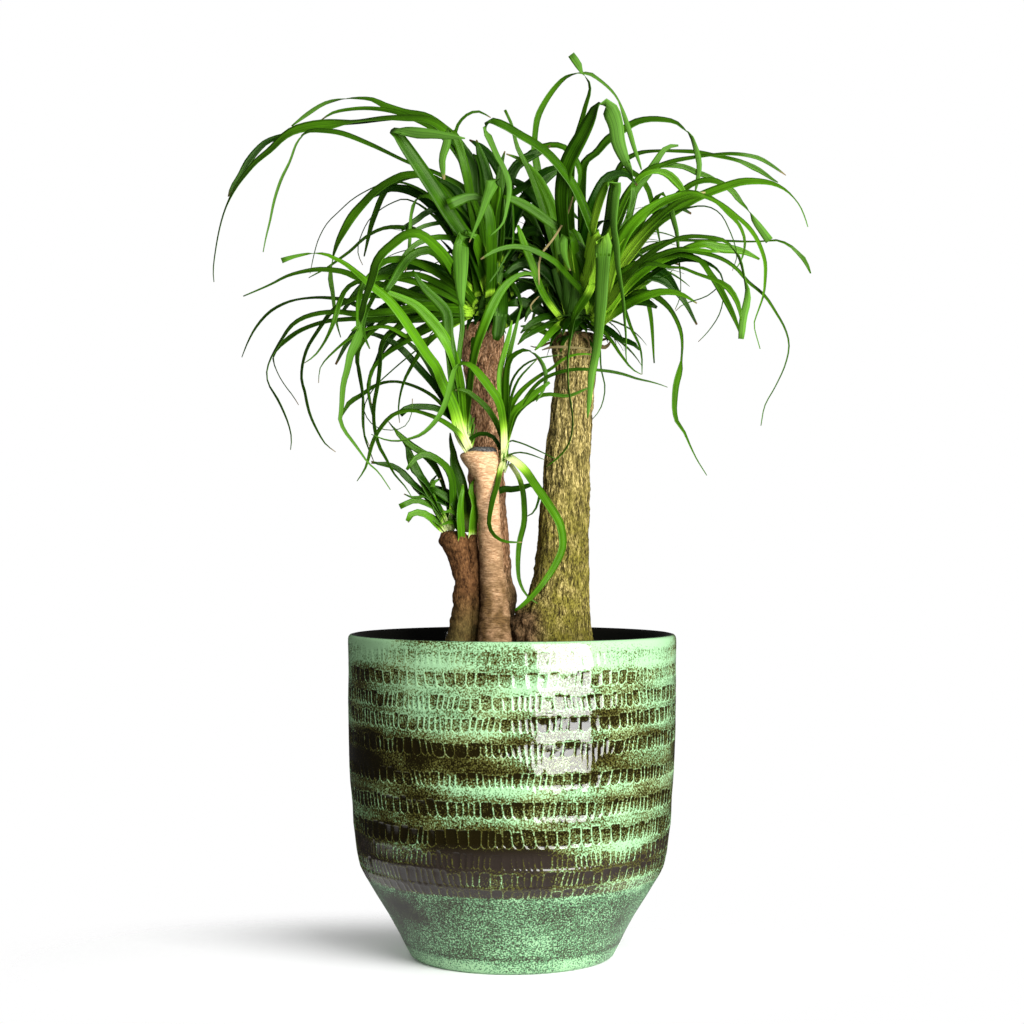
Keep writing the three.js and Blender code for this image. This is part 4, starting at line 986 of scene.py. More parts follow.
# Smaller blades between the long ones, in the same terms.
REAR_SMALL = (
    (5, 0.1, (10,0,-10), -24,450,4, -45,458,4, -70,449,3.6, -90,425,3, -101,400,2.4, -99.7,387,2, -96.5,372,0.7),
    (5, 0.15, (10,8,4), -24,452,4, -50,470,4, -80,461,3.6, -100,440,3, -108,421,2.4, -104.5,390,1.8, -103.7,364,1.4,
     -97.3,346,0.6),
    (6, 0.4, (10,-4,-14), -24,450,4, -45,448,4, -62,440,3.6, -76,432,3, -91,419,3, -99,409,2.6, -99.7,399,0.8),
    (8, 0.15, (24,4,-2), -20,480,6, -30,548,6, -58,584,4, -110,583,1.5, -140,580,2, -160,575,3, -172,571,4,
     -178,566,4.6, -186,556,5, -191,547,4.2, -197,538,3, -199.5,532,1),
    (7, 0.45, (24,40,56), -20,488,5, -30,545,5, -50,575,4, -75,589,3.4, -90,593,3, -108,594,2.6, -126,591,2,
     -134,586,0.8),
    (4, 0.4, (12,20,30), -26,480,4, -50,525,3, -75,541,1.5, -90,541,0.6, -100,537,0.6, -112,530,0.6, -122,521,0.6,
     -130,513,0.6, -136,502,0.6, -139,492,0.6, -142,478,0.5),
    (4, 0.4, (6,12,20), -26,476,4, -55,518,2, -75,530,0.8, -85,527,0.6, -92,523,0.6, -100,516,0.6, -105,507,0.6,
     -108,498,0.6, -108,491,0.6, -105,484,0.5),
    (6, 0.55, (0,-60,-84), -28,460,5, -50,476,5, -72,487,5, -90,486,4.5, -98,478,4, -105,470,4, -107,464,4,
     -108,456,4, -108,446,3.8, -109,440,2.4, -113,437.6,1),
    (6, 0.35, (0,-56,-76), -28,456,5, -50,470,5, -72,477,4, -90,470,3, -101,454,3, -105,440,3, -103,432,2,
     -100,425,1),
    (7, 0.55, (0,-34,-52), -22,482,6, -28,520,6, -34,556,6, -41,577,4, -44,580,-3, -46,569,-6, -49,559,-5,
     -48.7,551,-4, -47.7,544,-1.4),
    (6, 0.4, (20,16,10), -20,486,4, -30,540,3, -40,577,2.4, -35,587,2, -29,591,2, -24,592,1.8, -19,590,1.2,
     -15,587.6,0.8),
    (9, 0.4, (-2,-36,-50), -16,462,7, -15,500,7.5, -17,522,7, -22,531,5, -29,532,6, -37,529.5,7.5, -45,526,8),
    (5, 0.6, (0,-26,-40), -26,466,4, -40,505,3, -57,531,2.6, -64,532,2.4, -68,528,-2.2, -70.5,520,-2.2,
     -71.5,510,-2.3, -72,499,-2.5, -73,489,-2, -75,479,-0.8),
    (7, 0.1, (4,-16,-30), -22,474,6, -31,508,6, -40,521,5, -50,524,4.6, -60,521,4.4, -68,515,4.2, -78,509,3),
    (5, 0.2, (0,-26,-36), -26,470,4, -36,505,3.6, -45,513,3.2, -55,513,3, -65,510,3, -74,504,1),
    (6, 0.5, (2,-30,-46), -24,462,5, -29,488,4.6, -36,500,4.2, -45,503,4, -55,503,4, -65,500,4, -72,495,3.4,
     -80,486,1.4),
    (8, 0.4, (0,-50,-70), -26,456,6, -44,480,6, -58,494,6, -70,491,6, -78,482,6, -84,472,5, -89,465,3),
    (11, 0.3, (2,0,-4), -14,452,9, -14,474,10, -14,486,10, -14,500,11, -12,520,9, -8,536,6, -6,548,2),
    (9, 0.7, (0,-44,-62), -14,480,6, -13,520,6, -11,542,4, -12,545,-8, -16.5,534,-6.5, -21,521,-4, -26,509,-2,
     -30,500,-0.6),
    (3, 0.3, (0,-34,-50), -10,480,2, -6,530,1.4, -2,545,1.2, 0,530,1.2, 1,510,1.2, 0,497,1.2, -4,490,1.2, -10,480,1.2,
     -17,470,1),
    (11, 0.25, (2,-8,-14), -8,470,6, -7.5,460,8, -8,450,9.5, -9,441,9.5, -10.5,434,8, -11.5,431,4),
    (6, 0.35, (6,-40,-60), -28,450,6, -50,448,6, -74,445,5, -100,445,4, -111,445.5,3.2, -120,445,3, -130,444,2.8,
     -140.6,441,2.8, -150,437,3, -158.6,431,3.2, -164,425.6,2, -167.7,419,1, -165,409,0.6, -160,400,0.6, -154,392,0.6,
     -150,385.5,0.5),
    (6, 0.5, (0,-66,-86), -28,454,6, -60,469,5, -86,475,4.4, -105.5,472,3.4, -111,471,3.2, -117,466,3.2, -121,458,3.6,
     -123.5,450,4, -126,442,3, -130,433,2, -133.5,427,1.6, -139,420,1.2, -146,415,0.6),
    (6, 0.4, (2,-60,-90), -28,452,6, -70,459,5, -100,462,4, -118,457,3.4, -128,449,3, -133,442,2.6, -138,434.6,2.4,
     -143,426.5,2.2, -146,418,2, -147.5,410,1.8, -147.5,402,1.8, -145.7,396,1.9, -144,387,2, -141.6,378,1.8,
     -136,366,1.4, -131,358,1, -124,352.5,0.5),
    (5, 0.95, (4,-50,-70), -30,448,4, -50,436,3, -64,430,3, -74,433,3, -80,436.6,2.8, -88,440,2.6, -97,440,2.4,
     -106,437,2.3, -115,431.6,2, -124,424,1.6, -132,416,1, -135,411,0.6, -136,401,0.5),
    (5, 0.5, (0,-56,-80), -28,452,5, -60,453,4, -85,446,4, -103,432,3, -109,419,2.6, -107,410,2, -105.5,400,1.8,
     -104.6,392,1.6, -105,384,1.2, -104.6,368,0.9, -100,356,0.5),
    (5, 0.4, (-2,-66,-92), -28,450,5, -54,449,4.4, -74,443,4, -88,434,3.4, -92,425,3, -92.4,414,3, -94,400,2.8,
     -96.5,387,2.7, -97,377,2.4, -96,367,2.4, -93,356,2.5, -88.5,348,2, -83,337.5,1.4, -75,328,1, -70,320,0.5),
    (5, 0.4, (0,-50,-70), -30,448,4, -54,440,3.6, -74,430,3.4, -90,420,3, -94.7,415,2.7, -99,408.5,2.2, -101,400,1.6,
     -100.5,391,1, -98,385,0.5),
    (4, 0.4, (0,-44,-60), -32,448,4, -46,440,3.6, -58,430,3.4, -66,420,3, -69,415,2.7, -75,404,2, -78.4,393,1.4,
     -79.8,382,1, -79,373,0.5),
    (1.2, 0.3, (-30,-62,-66), -60,430,1.2, -84,410,0.9, -98,396,0.8, -104,382,0.6, -100,374,0.6, -95,370,0.6,
     -88,368,0.6, -80,368.5,0.6, -75,371,0.6, -71,378,0.6, -70,390,0.6),
    (7, 0.1, (10,0,-10), -14,480,5, -6,515,5, 0,533,5, 10,540,5, 20,548,5, 28,552,4, 34,553,1),
    (5, 0.15, (14,4,-4), -12,486,5, -6,530,4, 2,552,3.6, 12,560,3, 20,562,1),
    (9, 0.1, (18,20,24), -24,470,7, -36,500,8, -50,520,8, -66,534,7, -84,538,5, -98,532,2),
    (9, 0.1, (10,10,6), -26,462,7, -48,478,8, -70,484,8, -92,478,7, -108,466,5, -120,450,2),
    (8, 0.05, (12,-6,-20), -28,456,7, -54,464,7, -80,458,7, -100,446,6, -114,432,4, -124,414,1.5),
    (8, 0.1, (14,2,-8), -28,452,7, -50,454,7, -72,446,6, -88,430,5, -98,410,2),
    (10, 0.15, (10,6,2), -20,483,7, -25,503,9, -26,521,9.5, -27,538,9.5, -28,553,9, -34,564,8, -41,571,6, -48,574,1),
    (9, 0.2, (8,0,-4), -16,483,7, -16,503,8.6, -15,521,8.6, -16,538,8.6, -19,553,7, -23,564,5, -25,572,1),
    (8, 0.35, (6,-6,-10), -11,483,6, -8,503,7, -8,518,7, -8,529,7, -9,541,6, -8,553,4, -5,564,1),
    (10, 0.08, (12,12,12), -8,486,7, -2,506,8, 5,524,9, 15,537,9, 24,546,8, 31,551,6, 38,554,1),
    (8, 0.1, (12,14,16), -9,486,5, -1,521,6, -2,538,7, 1,551,7, 10,559,7, 20,564,5, 27,568,1),
    (9, 0.05, (14,14,14), -11,486,7, -5,509,8, -3,526,8, -6,544,8, -13,557,7, -22,567,5, -30,572,1),
    (8, 0.1, (12,8,4), -17,486,6, -22,509,7, -32,526,8, -40,538,7, -48,543,5, -55,542,1),
    (8, 0.12, (12,6,2), -8,483,6, 1,497,7, 8,506,8, 15,509,7, 20,505,3),
)
MAIN_SMALL = (
    (10, 0.95, (-26,-56,-66), 62,440,6, 68,470,8, 74,492,8.5, 83,510,8, 98,524,7, 118,533,4.4, 136,535,1),
    (8, 0.9, (-26,-60,-72), 62,440,5, 77,464,6.5, 92,479,6.5, 107,488,5.5, 128,494,4, 146,493,1),
    (8, 0.9, (-26,-60,-70), 60,440,5, 76,452,6, 92,461,6, 106,465,5, 120,463,3, 130,457,1),
    (9, 0.8, (4,-6,-14), 40,442,6, 36,470,8, 33,500,8.5, 28,524,8, 18,545,6, 6,558,3, -4,562,1),
    (7, 0.45, (16,50,70), 58,474,5, 70,505,5, 80,532,4.6, 94,548,4, 106,554,3.6, 115,557,3.2, 126,559,2.6, 140,561,2,
     154,562,2.4, 166,561,2.8, 174,559,3, 182,554.5,2.4, 188.5,550,1.6, 192.6,547,0.6),
    (7, 0.5, (16,44,60), 58,472,5, 74,510,5, 88,543,4, 98,552,3.6, 108,554,3.6, 121,553,3.8, 130,549,4.3, 139,546,3,
     147,542,1),
    (7, 0.8, (-4,-50,-70), 60,456,6, 76,486,6, 100,514,5, 122,530,4, 137,532,3, 145,527,2.7, 153,519,2.7, 159,513,2.4,
     163,504,2, 163.6,497,1.6, 161,487,1.2, 158,482,0.6),
    (4, 0.3, (0,-30,-40), 58,460,4, 80,492,3, 105,516,2, 130,525,1, 140,524,0.8, 147,519,0.7, 152,510,0.7,
     156,500,0.7, 158,490,0.6, 155,480,0.5),
    (7, 0.6, (-14,-36,-50), 58,446,6, 64,456,6, 70,466,5, 77,477,4.5, 84,482.5,5, 95,486,5.4, 104,487,4, 112,486.5,3,
     117.5,484,1),
    (8, 0.55, (8,24,30), 60,464,6, 82,496,6, 108,524,5, 128,541,4, 142,543,4, 154,536.6,4, 158,532,4.3, 162.5,526,2,
     166,522.6,0.9, 170,516,-3.8, 175.5,508.5,-5.4, 181,501,-6),
    (8, 0.4, (-12,-70,-100), 60,452,6, 76,470,6, 95,487,5, 118,491,4, 133,486,4, 138,479,4, 144.5,470,5, 150,460,4.6,
     154.5,451,4, 159,440,2, 161,433,0.8),
    (8, 0.7, (-12,-36,-44), 46,468,6, 44,490,6.5, 41,504,4, 38,505,-5, 36,497,-6, 38,487,-3, 41,480,-1),
    (10, 0.35, (-14,-26,-34), 54,452,7, 57,468,7, 54,480,9, 50,491,10, 43,500,7.5, 38,508,5, 34,512,1),
    (6, 0.5, (0,-14,-20), 36,470,5, 28,500,5, 20,528,5, 12,550,4, 7,560,3.6, 4,566,3.2, 2,573,2.6, 0,582,2.2,
     -5,593,2),
    (7, 0.45, (-12,-30,-40), 52,470,6, 46,492,6.5, 38,506,6.5, 31,511,6, 21,518,6.5, 11,525,6.5, 1,530,5.5, -6,532,2),
    (5, 0.5, (-12,-44,-56), 54,450,4, 50,463,4, 40,475,4, 30,486,4, 18,493,4, 10,496,4, 0,497,3.6, -12,494,3,
     -22,488,1),
    (6, 1.0, (-4,-14,-20), 34,446,4, 27,455,4.4, 23,461,4.6, 18,472,5, 14,485,5, 8,500,5, 4,512,2),
    (7, 0.9, (8,6,10), 56,474,5, 72,512,5, 84,538,4, 92,547,4, 101,550,3.8, 108.5,548.5,5.4, 115,543,6, 120,536.6,4,
     122.5,532,2),
    (5, 0.4, (-6,-44,-60), 60,464,5, 80,494,5, 96,522,4, 106,534,2, 110.6,527,-3.2, 113,517,-3.8, 115.5,507.5,-3,
     116.6,496.6,-2, 117.4,486,-1.2, 118.5,472.5,-0.6, 118,461,-0.6, 114.7,452.7,-0.5),
    (4, 0.2, (-10,-70,-90), 62,450,4, 90,472,4, 120,487,2.4, 142,482,1, 148,473,0.8, 143,467,0.7, 136.5,462,0.7,
     128,459,0.7, 120,456,0.7, 115,451.6,0.5),
    (4, 0.2, (-8,-60,-80), 62,452,4, 98,482,4, 130,488,2, 145,480,1, 148.7,469,0.7, 148,458,0.7, 145.5,449,0.7,
     140,440,0.6, 135,434,0.6, 131,430,0.5),
    (3, 0.3, (-10,-40,-50), 60,448,3, 74,464,2, 88,475,1, 95,475,0.8, 104,475,0.7, 111,478,0.7, 113.5,481,0.5),
    (3, 0.3, (-10,-34,-36), 56,448,3, 61,430,1.4, 62.5,410,1, 65,400,0.9, 64.7,392,0.8, 61.6,382,0.7, 56.6,375.6,0.5),
    (4, 0.5, (-8,-24,-30), 56,444,4, 64,437,2.7, 70,430,2.4, 76,421,2, 80,416,1.6, 84,411,1.2, 91,407,0.6),
    (5, 0.4, (-10,-34,-44), 60,450,4, 70,460,3.6, 77,456,3, 80,449,2.3, 84,438,2, 88.7,429,1.6, 91,420,1.2,
     91.4,407,0.6),
    (6, 0.05, (-4,-14,-20), 56,444,5, 68,438,4, 77,431,4, 82.4,430,4, 87,427.5,3, 89.6,424,1),
    (6, 0.3, (0,-20,-24), 36,446,5, 26,442,4, 18,438,4, 10,434,3, 4,428,1),
    (6, 0.9, (-4,-22,-28), 38,445,5, 28,437,5, 22,430,4, 16,424,1),
    (6, 0.2, (4,-8,-12), 34,448,5, 22,447,5, 12,442,4, 6,436,1),
    (9, 0.1, (-2,-20,-26), 58,447,6, 72,455,6, 85,459,7, 94,458,6, 102,454,2),
    (9, 0.1, (6,14,20), 56,466,7, 70,492,8, 84,512,8, 98,524,7, 114,526,4, 126,520,1.5),
    (9, 0.05, (0,-16,-26), 58,456,7, 74,474,8, 92,484,7, 108,478,5, 118,464,2),
    (9, 0.1, (10,10,8), 40,470,7, 34,498,8, 24,520,8, 12,536,7, -2,544,4, -10,543,1.5),
    (8, 0.1, (6,-4,-10), 38,456,7, 28,474,7, 16,484,7, 4,484,5, -6,476,2),
    (9, 0.1, (6,-10,-16), 48,476,7, 52,506,8, 58,530,8, 68,546,7, 80,548,4, 88,540,1.5),
    (8, 0.1, (10,20,24), 58,458,7, 80,474,7, 104,474,6, 120,460,4, 130,442,1.5),
    (6, 0.95, (8,16,20), 32,446,4, 28,462,5, 26,476,5, 28,489,5, 29,503,5, 28,516,5, 20,530,4, 16,538,1),
    (8, 0.25, (8,12,14), 32,446,6, 24,462,7, 22,483,8, 20,496,8, 17,507,8, 10,521,7, 1,531,5, -9,538,1),
    (8, 0.1, (8,16,20), 34,446,6, 32,462,8, 31,483,8, 28,499,8, 22,514,7, 13,523,5, 5,526,1),
    (10, 0.45, (-2,-8,-12), 58,449,7, 55,469,9, 52,483,9.5, 47,496,9.5, 44,505,8, 42,509,4),
    (8, 0.35, (0,2,4), 45,459,4, 36,469,7, 30,473,8, 25,473,8, 20,470,6, 16,465,1),
    (8, 0.1, (8,6,4), 32,446,5, 22,450,7, 13,456,8, 5,458,7, -3,456,3),
    (8, 0.15, (6,4,2), 36,442,5, 28,454,7, 22,462,7, 17,458,6, 11,450,3, 9,444,0.8),
    (5, 0.7, (2,-2,-4), 34,436,4, 28,433,4, 22,437,4, 15,440,4, 6,441,1),
    (4, 0.6, (4,0,-2), 34,437,3, 28,440,4, 21,442,4, 14,440,3, 9,436,2, 5,430,0.8),
    (10, 0.05, (16,18,20), -11,439,8, -7,462,9, 1,483,9, 7,499,8, 11,513,5, 13,523,1),
    (10, 0.02, (14,20,22), 36,439,8, 34,456,9.5, 36,469,9.5, 38,483,9, 40,499,6, 40,513,2),
    (10, 0.05, (14,16,18), 34,440,7, 28,449,9, 25,461,9, 29,476,9, 34,488,6, 37,496,1),
    (10, 0.04, (14,18,20), 38,439,8, 42,452,9.5, 45,466,9.5, 47,479,8, 45,495,4, 42,504,1),
    (9, 0.05, (16,16,14), -7,442,6, 5,450,8, 13,457,9, 25,464,8, 34,462,4, 40,457,1),
    (9, 0.08, (16,14,12), -5,458,5, 3,467,8, 11,471,8, 20,469,7, 26,462,3),
    (8, 0.12, (16,12,10), -11,469,5, -2,479,7, 7,485,8, 16,488,7, 25,487,3),
    (7, 0.1, (18,20,22), 5,488,4, 13,501,6, 22,510,7, 33,513,6, 42,511,2),
    (6, 0.1, (20,24,26), 10,512,3, 20,520,5, 30,522,6, 41,521,4, 47,516,1),
    (5, 0.3, (10,6,2), 0,462,2, -5,481,3, -1,473,4, 5,462,3, 7,452,1),
)
SHOOT_SMALL = (
    (6, 0.1, (-24,-42,-50), -32,356,4, -36,368,5, -44,378,5, -55,383.5,4.6, -64,384.4,4.5, -73,383.5,4.8, -79,379,5),
    (5, 0.4, (-22,-32,-36), -32,356,3, -36,380,3.4, -38,410,3.5, -37,425,3.5, -35,440,3.5, -36,455,3.2, -38,466,0.8),
    (9, 0.95, (-26,-52,-70), -32,358,5, -35,376,5, -37,400,6, -42,420,7, -50,436,8, -58,446,8, -68,456,6, -78,461,4.6,
     -88,465,3.4, -97,469,1.2),
    (4, 0.5, (-22,-30,-34), -6,346,3, -2,365,3, 3,378,3, 10,386,3, 18,391,3, 25,393,2.8, 40,392,2.4, 50,396,1.6,
     55,398,0.6),
    (5, 1.0, (-22,-32,-36), -6,346,3, -3,370,4, 0,385,4, 5,393,3.6, 12,400,3, 20,406,2.5, 28,411,2.2, 35,417,2,
     45,421,1.6, 60,421,0.6),
    (3, 0.4, (-22,-30,-34), -5,346,2, -3,375,2, 0,402,1.6, 8,413,1.4, 18,418,1.2, 35,421,0.6),
    (3, 0.4, (-22,-34,-40), -5,346,2, -3,370,2, 0,392,2, 5,404,1.6, 12,412,1.2, 18,418,0.6),
    (5, 0.6, (-24,-38,-46), -6,346,4, -7,361,4, -10,370,4, -14,378,4, -20,386,4, -27,392,3.6, -33,396,3, -40,396,1),
    (5, 1.0, (-22,-28,-30), -6,346,4, -7,380,4, -9,405,4, -6,420,4, -2,435,3, 0,445,1),
    (5, 0.6, (-20,-22,-24), -5,346,4, -4,375,4, -4,400,4, -2,420,3.6, 1,433,3, 4,445,2, 7,456,0.8),
    (3, 0.35, (-26,-44,-50), -6,350,2.6, 4,380,2.6, 20,402,2.6, 40,410,2.4, 61,410,2.2, 70,409,2.3, 79,407,2,
     88,404,1.6, 97,402,1.2, 104,400,0.8, 109.4,398,0.5),
    (5, 0.55, (-24,-38,-42), -5,348,4, -8,340,4, -10,330,4, -13,320,4, -15,310,3.4, -16,303,3, -14,296,2.6,
     -10,292,2.4, -5,289.5,2, 7,289,0.8),
    (2, 0.3, (-24,-34,-40), -6,350,1.6, -3,360,1.2, 5,359,1, 15,355,1, 32,347,0.5),
    (2, 0.3, (-24,-34,-40), -6,348,1.6, 0,351,1.2, 5,352,1, 12,351,1, 23,347,0.5),
    (5, 0.1, (0,-4,-10), -16,318,5, -8,326,5, 0,326,4.6, 7,327,4, 14,329,3, 19,324,2, 18,317,1.6, 15,310,1.2,
     10,307,0.6),
    (4, 0.15, (-24,-26,-24), -33,354,3, -30,361,3, -25,365,3, -18,365.5,3, -12,362,3, -8,354,3),
    (5, 0.6, (-18,-22,-26), -46,297,4, -50,302,4.4, -56,306,4.5, -62,309,4.5, -68,310,3, -73,303,1),
    (5, 0.5, (-18,-24,-30), -46,299,4, -52,311,4, -60,316,4, -68,318.5,4, -79,314,4),
    (4, 0.7, (-18,-18,-18), -44,300,3, -53,315,3, -60,325,3, -63,333,3, -64,338,1),
    (5, 0.8, (-18,-24,-26), -46,300,4, -53,311,4, -56,322,4, -56,330,3, -50,334,1),
    (4, 0.4, (-18,-26,-28), -46,302,3, -55,317,3, -61,322,3, -68,320,2, -76,323,0.8),
    (8, 0.7, (-22,-27,-24), -36.5,288,4.4, -36.5,298,5.4, -37,306,5.4, -36.8,311.5,5, -36.5,317,4, -35,324,3,
     -34.6,330,1.2),
    (6, 0.8, (-24,-34,-40), -6,350,4, -1.8,371,4.6, 1.6,381,5, 8.3,387,5, 16.4,394,4.4, 26.5,401.6,2),
    (4, 0.6, (-20,-24,-28), -38,298,3, -42,303,3, -50,301,1),
    (7, 0.05, (-20,-34,-40), -33,358,4, -40.7,375,5, -52,395,5, -68,414,5, -80,427,4.6, -96,435,3, -106,436,1),
    (6, 0.15, (-20,-28,-34), -32,360,4, -37.5,372,4, -44,388,4.4, -55,406,4, -63,420,3.6, -76,432,2, -84,437,0.8),
    (7, 0.1, (-14,-26,-34), -40,300,4, -46,316,3, -50,332,3, -58,347,5.4, -71,357.6,4, -83,369,1.4, -87,374,0.6),
    (8, 0.2, (-14,-28,-36), -44,298,3, -52,314,2.4, -55.3,322,2.4, -61.7,332,3.6, -67.4,339,6.4, -71.4,348,6,
     -74,356,2, -75,359,0.8),
    (6, 0.1, (-14,-28,-36), -44,297,3, -53.7,314,2.4, -60,322,2.4, -69,329.4,4, -75.5,336,4.6, -81,341.5,3,
     -88,344.4,2.4, -99,344.7,1),
    (6, 0.9, (-16,-24,-30), -46,296,4, -52,299.5,4.6, -55.3,304,5, -61.7,309,5, -68,310,4.6, -73,307.5,3.6,
     -74,304,2),
    (9, 0.1, (-12,-20,-26), -38,300,6, -40,313,7, -50.4,319,7, -60,322,6, -68,327,3, -72,331,1),
    (8, 0.3, (-12,-18,-22), -38,302,6, -40,317,6.6, -47,323.7,6.6, -58.5,327.7,4, -64,329,1),
    (5, 0.9, (-14,-18,-20), -45,298,4, -52,308,4, -56,316,4, -58,323,3, -57,331,2.4, -53,336,1),
    (4, 0.6, (-20,-24,-28), -37,300,3, -39,308,3, -44,311,2.4, -50,309,0.8),
    (8, 1.0, (-17,-20,-20), -28.6,290,6, -27.9,303,6, -26.8,311.5,5.4, -26.3,317,4.6, -28.5,322,4.4, -29,327.6,3,
     -26.3,333.5,1),
    (7, 0.3, (-16,-22,-26), -40,299,5, -40,316,6, -48,322,6, -57,327,3),
    (6, 0.5, (-14,-30,-40), -42,304,5, -43,334,5, -50,345,4.3, -61,351,5, -70,356,4, -80,365,3, -83,369,1),
    (5, 0.5, (-16,-20,-22), -46,300,4, -57,317,4, -66,326,4, -72,333,4, -76,337.5,4.3, -81,341,4, -86.5,343,3,
     -93,344,2.4, -99,346,0.8),
    (11, 0.25, (-12,-12,-16), -33.4,296,7, -33.8,314,8.4, -36,325,9.4, -37.6,333,9.4, -39,338,8.4, -41,345,6.4,
     -41.5,352,4.5, -43,359,3, -43.5,366,1),
)
# Dry remains of old leaves round the top of the main trunk.
DRY_REMAINS = (
    (2, 0.6, (-16,-18,-14), 21,424.4,0.6, 26,426,1.6, 33,426.4,1.9, 42,426,1.7, 50,425.4,1.4, 56,424.6,0.6),
    (3, 0.3, (-12,-15,-14), 59,428,2, 62,427,3, 65,426,3, 68,428,2, 69,430,1),
    (2, 0.0, (-8,-12,-12), 30,430,1.4, 26,429,1.6, 21,427,1.6, 17,426,1, 13,427,0.6),
    (2, 0.1, (-10,-14,-15), 48,436,1.4, 51,434,1.4, 54,430,1.2, 54.5,426,0.6),
    (2, 0.0, (-10,-14,-12), 58,432,1.4, 63,431,1.8, 68,432.6,1.4, 71,431,0.6),
    (1.5, 0.9, (-34,-38,-34), 43,532,0.8, 40,522,1.2, 34,510,1.4, 28,501,1.5, 21,492,1.5, 19,485,1.4, 19,476,1.2,
     19,470,0.6),
    (1.2, 0.9, (-30,-32,-30), 19,462,0.6, 15,458,1.1, 13,455,1.1, 14,452,0.6),
)
# Leaves that fill the crowns: crown, count, bottom, azimuths, pitches, lengths, droops, widths, tones; their low
# tones are painted shade in the crowns' middles.
FILLERS = (
    ("main", 26, 439, (-175, -5), (-40, 15), (14, 34), (20, 90), (4, 6.5), (0.05, 0.4)),
    ("rear", 22, 447, (-172, -8), (-35, 20), (14, 32), (20, 80), (4, 6), (0.0, 0.3)),
    ("main", 12, 456, (110, 200), (50, 86), (80, 130), (40, 120), (6, 9), (0.1, 0.5)),
    ("main", 34, 450, (15, 165), (35, 88), (60, 120), (40, 150), (5, 9), (0.0, 0.3)),
    ("main", 10, 446, (-40, 30), (-15, 35), (28, 60), (40, 110), (3.5, 6), (0.1, 0.5)),
    ("rear", 30, 458, (10, 170), (35, 86), (55, 105), (40, 150), (5, 9), (0.0, 0.25)),
    ("rear", 8, 452, (150, 230), (-15, 35), (28, 60), (40, 110), (3.5, 6), (0.0, 0.3)),
)
# Middles that leaves turn away from: across, depth, in mm.
AXES = {"main_crown": (44, 4), "rear_crown": (-20, 16), "left_shoot": (-31, -22), "right_shoot": (-6, -22),
        "left_sprout": (-42, -16)}
# Hearts: the node stood for, middle across and depth, bottom, height, radius low and high, scale count, tone.
HEARTS = (
    ("main_crown_heart", 44, 4, 436, 50, 14, 8, 46, 0.1),
    ("rear_crown_heart", -20, 16, 444, 46, 12, 7, 40, 0.1),
    ("left_shoot_heart", -30.5, -22, 350, 24, 4.2, 2.5, 14, 1.0),
    ("right_shoot_heart", -5.6, -22, 337, 22, 3.4, 2.0, 12, 1.0),
    ("left_sprout_heart", -42.5, -16, 295, 20, 4.0, 2.2, 12, 0.9),
)
GOLDEN_ANGLE = 2.39996
BLADE_RINGS = (8, 64, 4.5)  # fewest and most rings of a blade, and the mm between them
THINNEST = 0.0004  # least width of a blade, in metres
LEAF_LAYERS = ("tone", "along", "pale", "dry", "upper")


def place_in_depth(across, height, depth, eye):
    """The point at a depth that the camera sees where (across, height) is on the pot's axis plane, in metres."""
    share = (eye.y + depth * -MM) / eye.y
    x = across * MM * share
    return Vector((x, depth * MM, eye.z + (height * MM - eye.z) * share)), share


def blend(a, b, start, end, t):
    """Values between a, at start, and b, at end."""
    return [(end - t) / (end - start) * x + (t - start) / (end - start) * y for x, y in zip(a, b)]


def smooth_line(points, count):
    """Evenly spaced samples of a smooth curve through points, which may carry more than x, y and z."""
    ends = [[2 * a - b for a, b in zip(points[0], points[1])], *points,
            [2 * a - b for a, b in zip(points[-1], points[-2])]]
    fine = []
    for p0, p1, p2, p3 in zip(ends, ends[1:], ends[2:], ends[3:]):
        gaps = [max(1e-6, math.dist(a[:3], b[:3]) ** 0.5) for a, b in ((p0, p1), (p1, p2), (p2, p3))]
        t0, t1 = 0.0, gaps[0]
        t2 = t1 + gaps[1]
        t3 = t2 + gaps[2]
        for step in range(8):
            t = t1 + (t2 - t1) * step / 8
            ab, bc, cd = blend(p0, p1, t0, t1, t), blend(p1, p2, t1, t2, t), blend(p2, p3, t2, t3, t)
            fine.append(blend(blend(ab, bc, t0, t2, t), blend(bc, cd, t1, t3, t), t1, t2, t))
    fine.append(list(points[-1]))
    reach = [0.0]
    for a, b in zip(fine, fine[1:]):
        reach.append(reach[-1] + math.dist(a[:3], b[:3]))
    samples = []
    index = 0
    for i in range(count):
        goal = reach[-1] * i / (count - 1)
        while index < len(reach) - 2 and reach[index + 1] < goal:
            index += 1
        share = (goal - reach[index]) / max(1e-9, reach[index + 1] - reach[index])
        share = min(1.0, max(0.0, share))
        samples.append([a + (b - a) * share for a, b in zip(fine[index], fine[index + 1])])
    return samples


def square_to(vector, along):
    """The part of a vector that is at right angles to a unit direction."""
    return vector - along * vector.dot(along)


def taper(t):
    """Share of a blade's width at t in 0..1: narrower at its base, and tapering from the middle to the tip."""
    return (0.85 + 0.15 * min(1.0, t / 0.15)) * (1 - max(0.0, (t - 0.45) / 0.55) ** 1.4 * 0.93)


def directions(spots):
    """Unit direction of a line at each of its points."""
    last = len(spots) - 1
    return [(spots[min(i + 1, last)] - spots[max(i - 1, 0)]).normalized() for i in range(last + 1)]


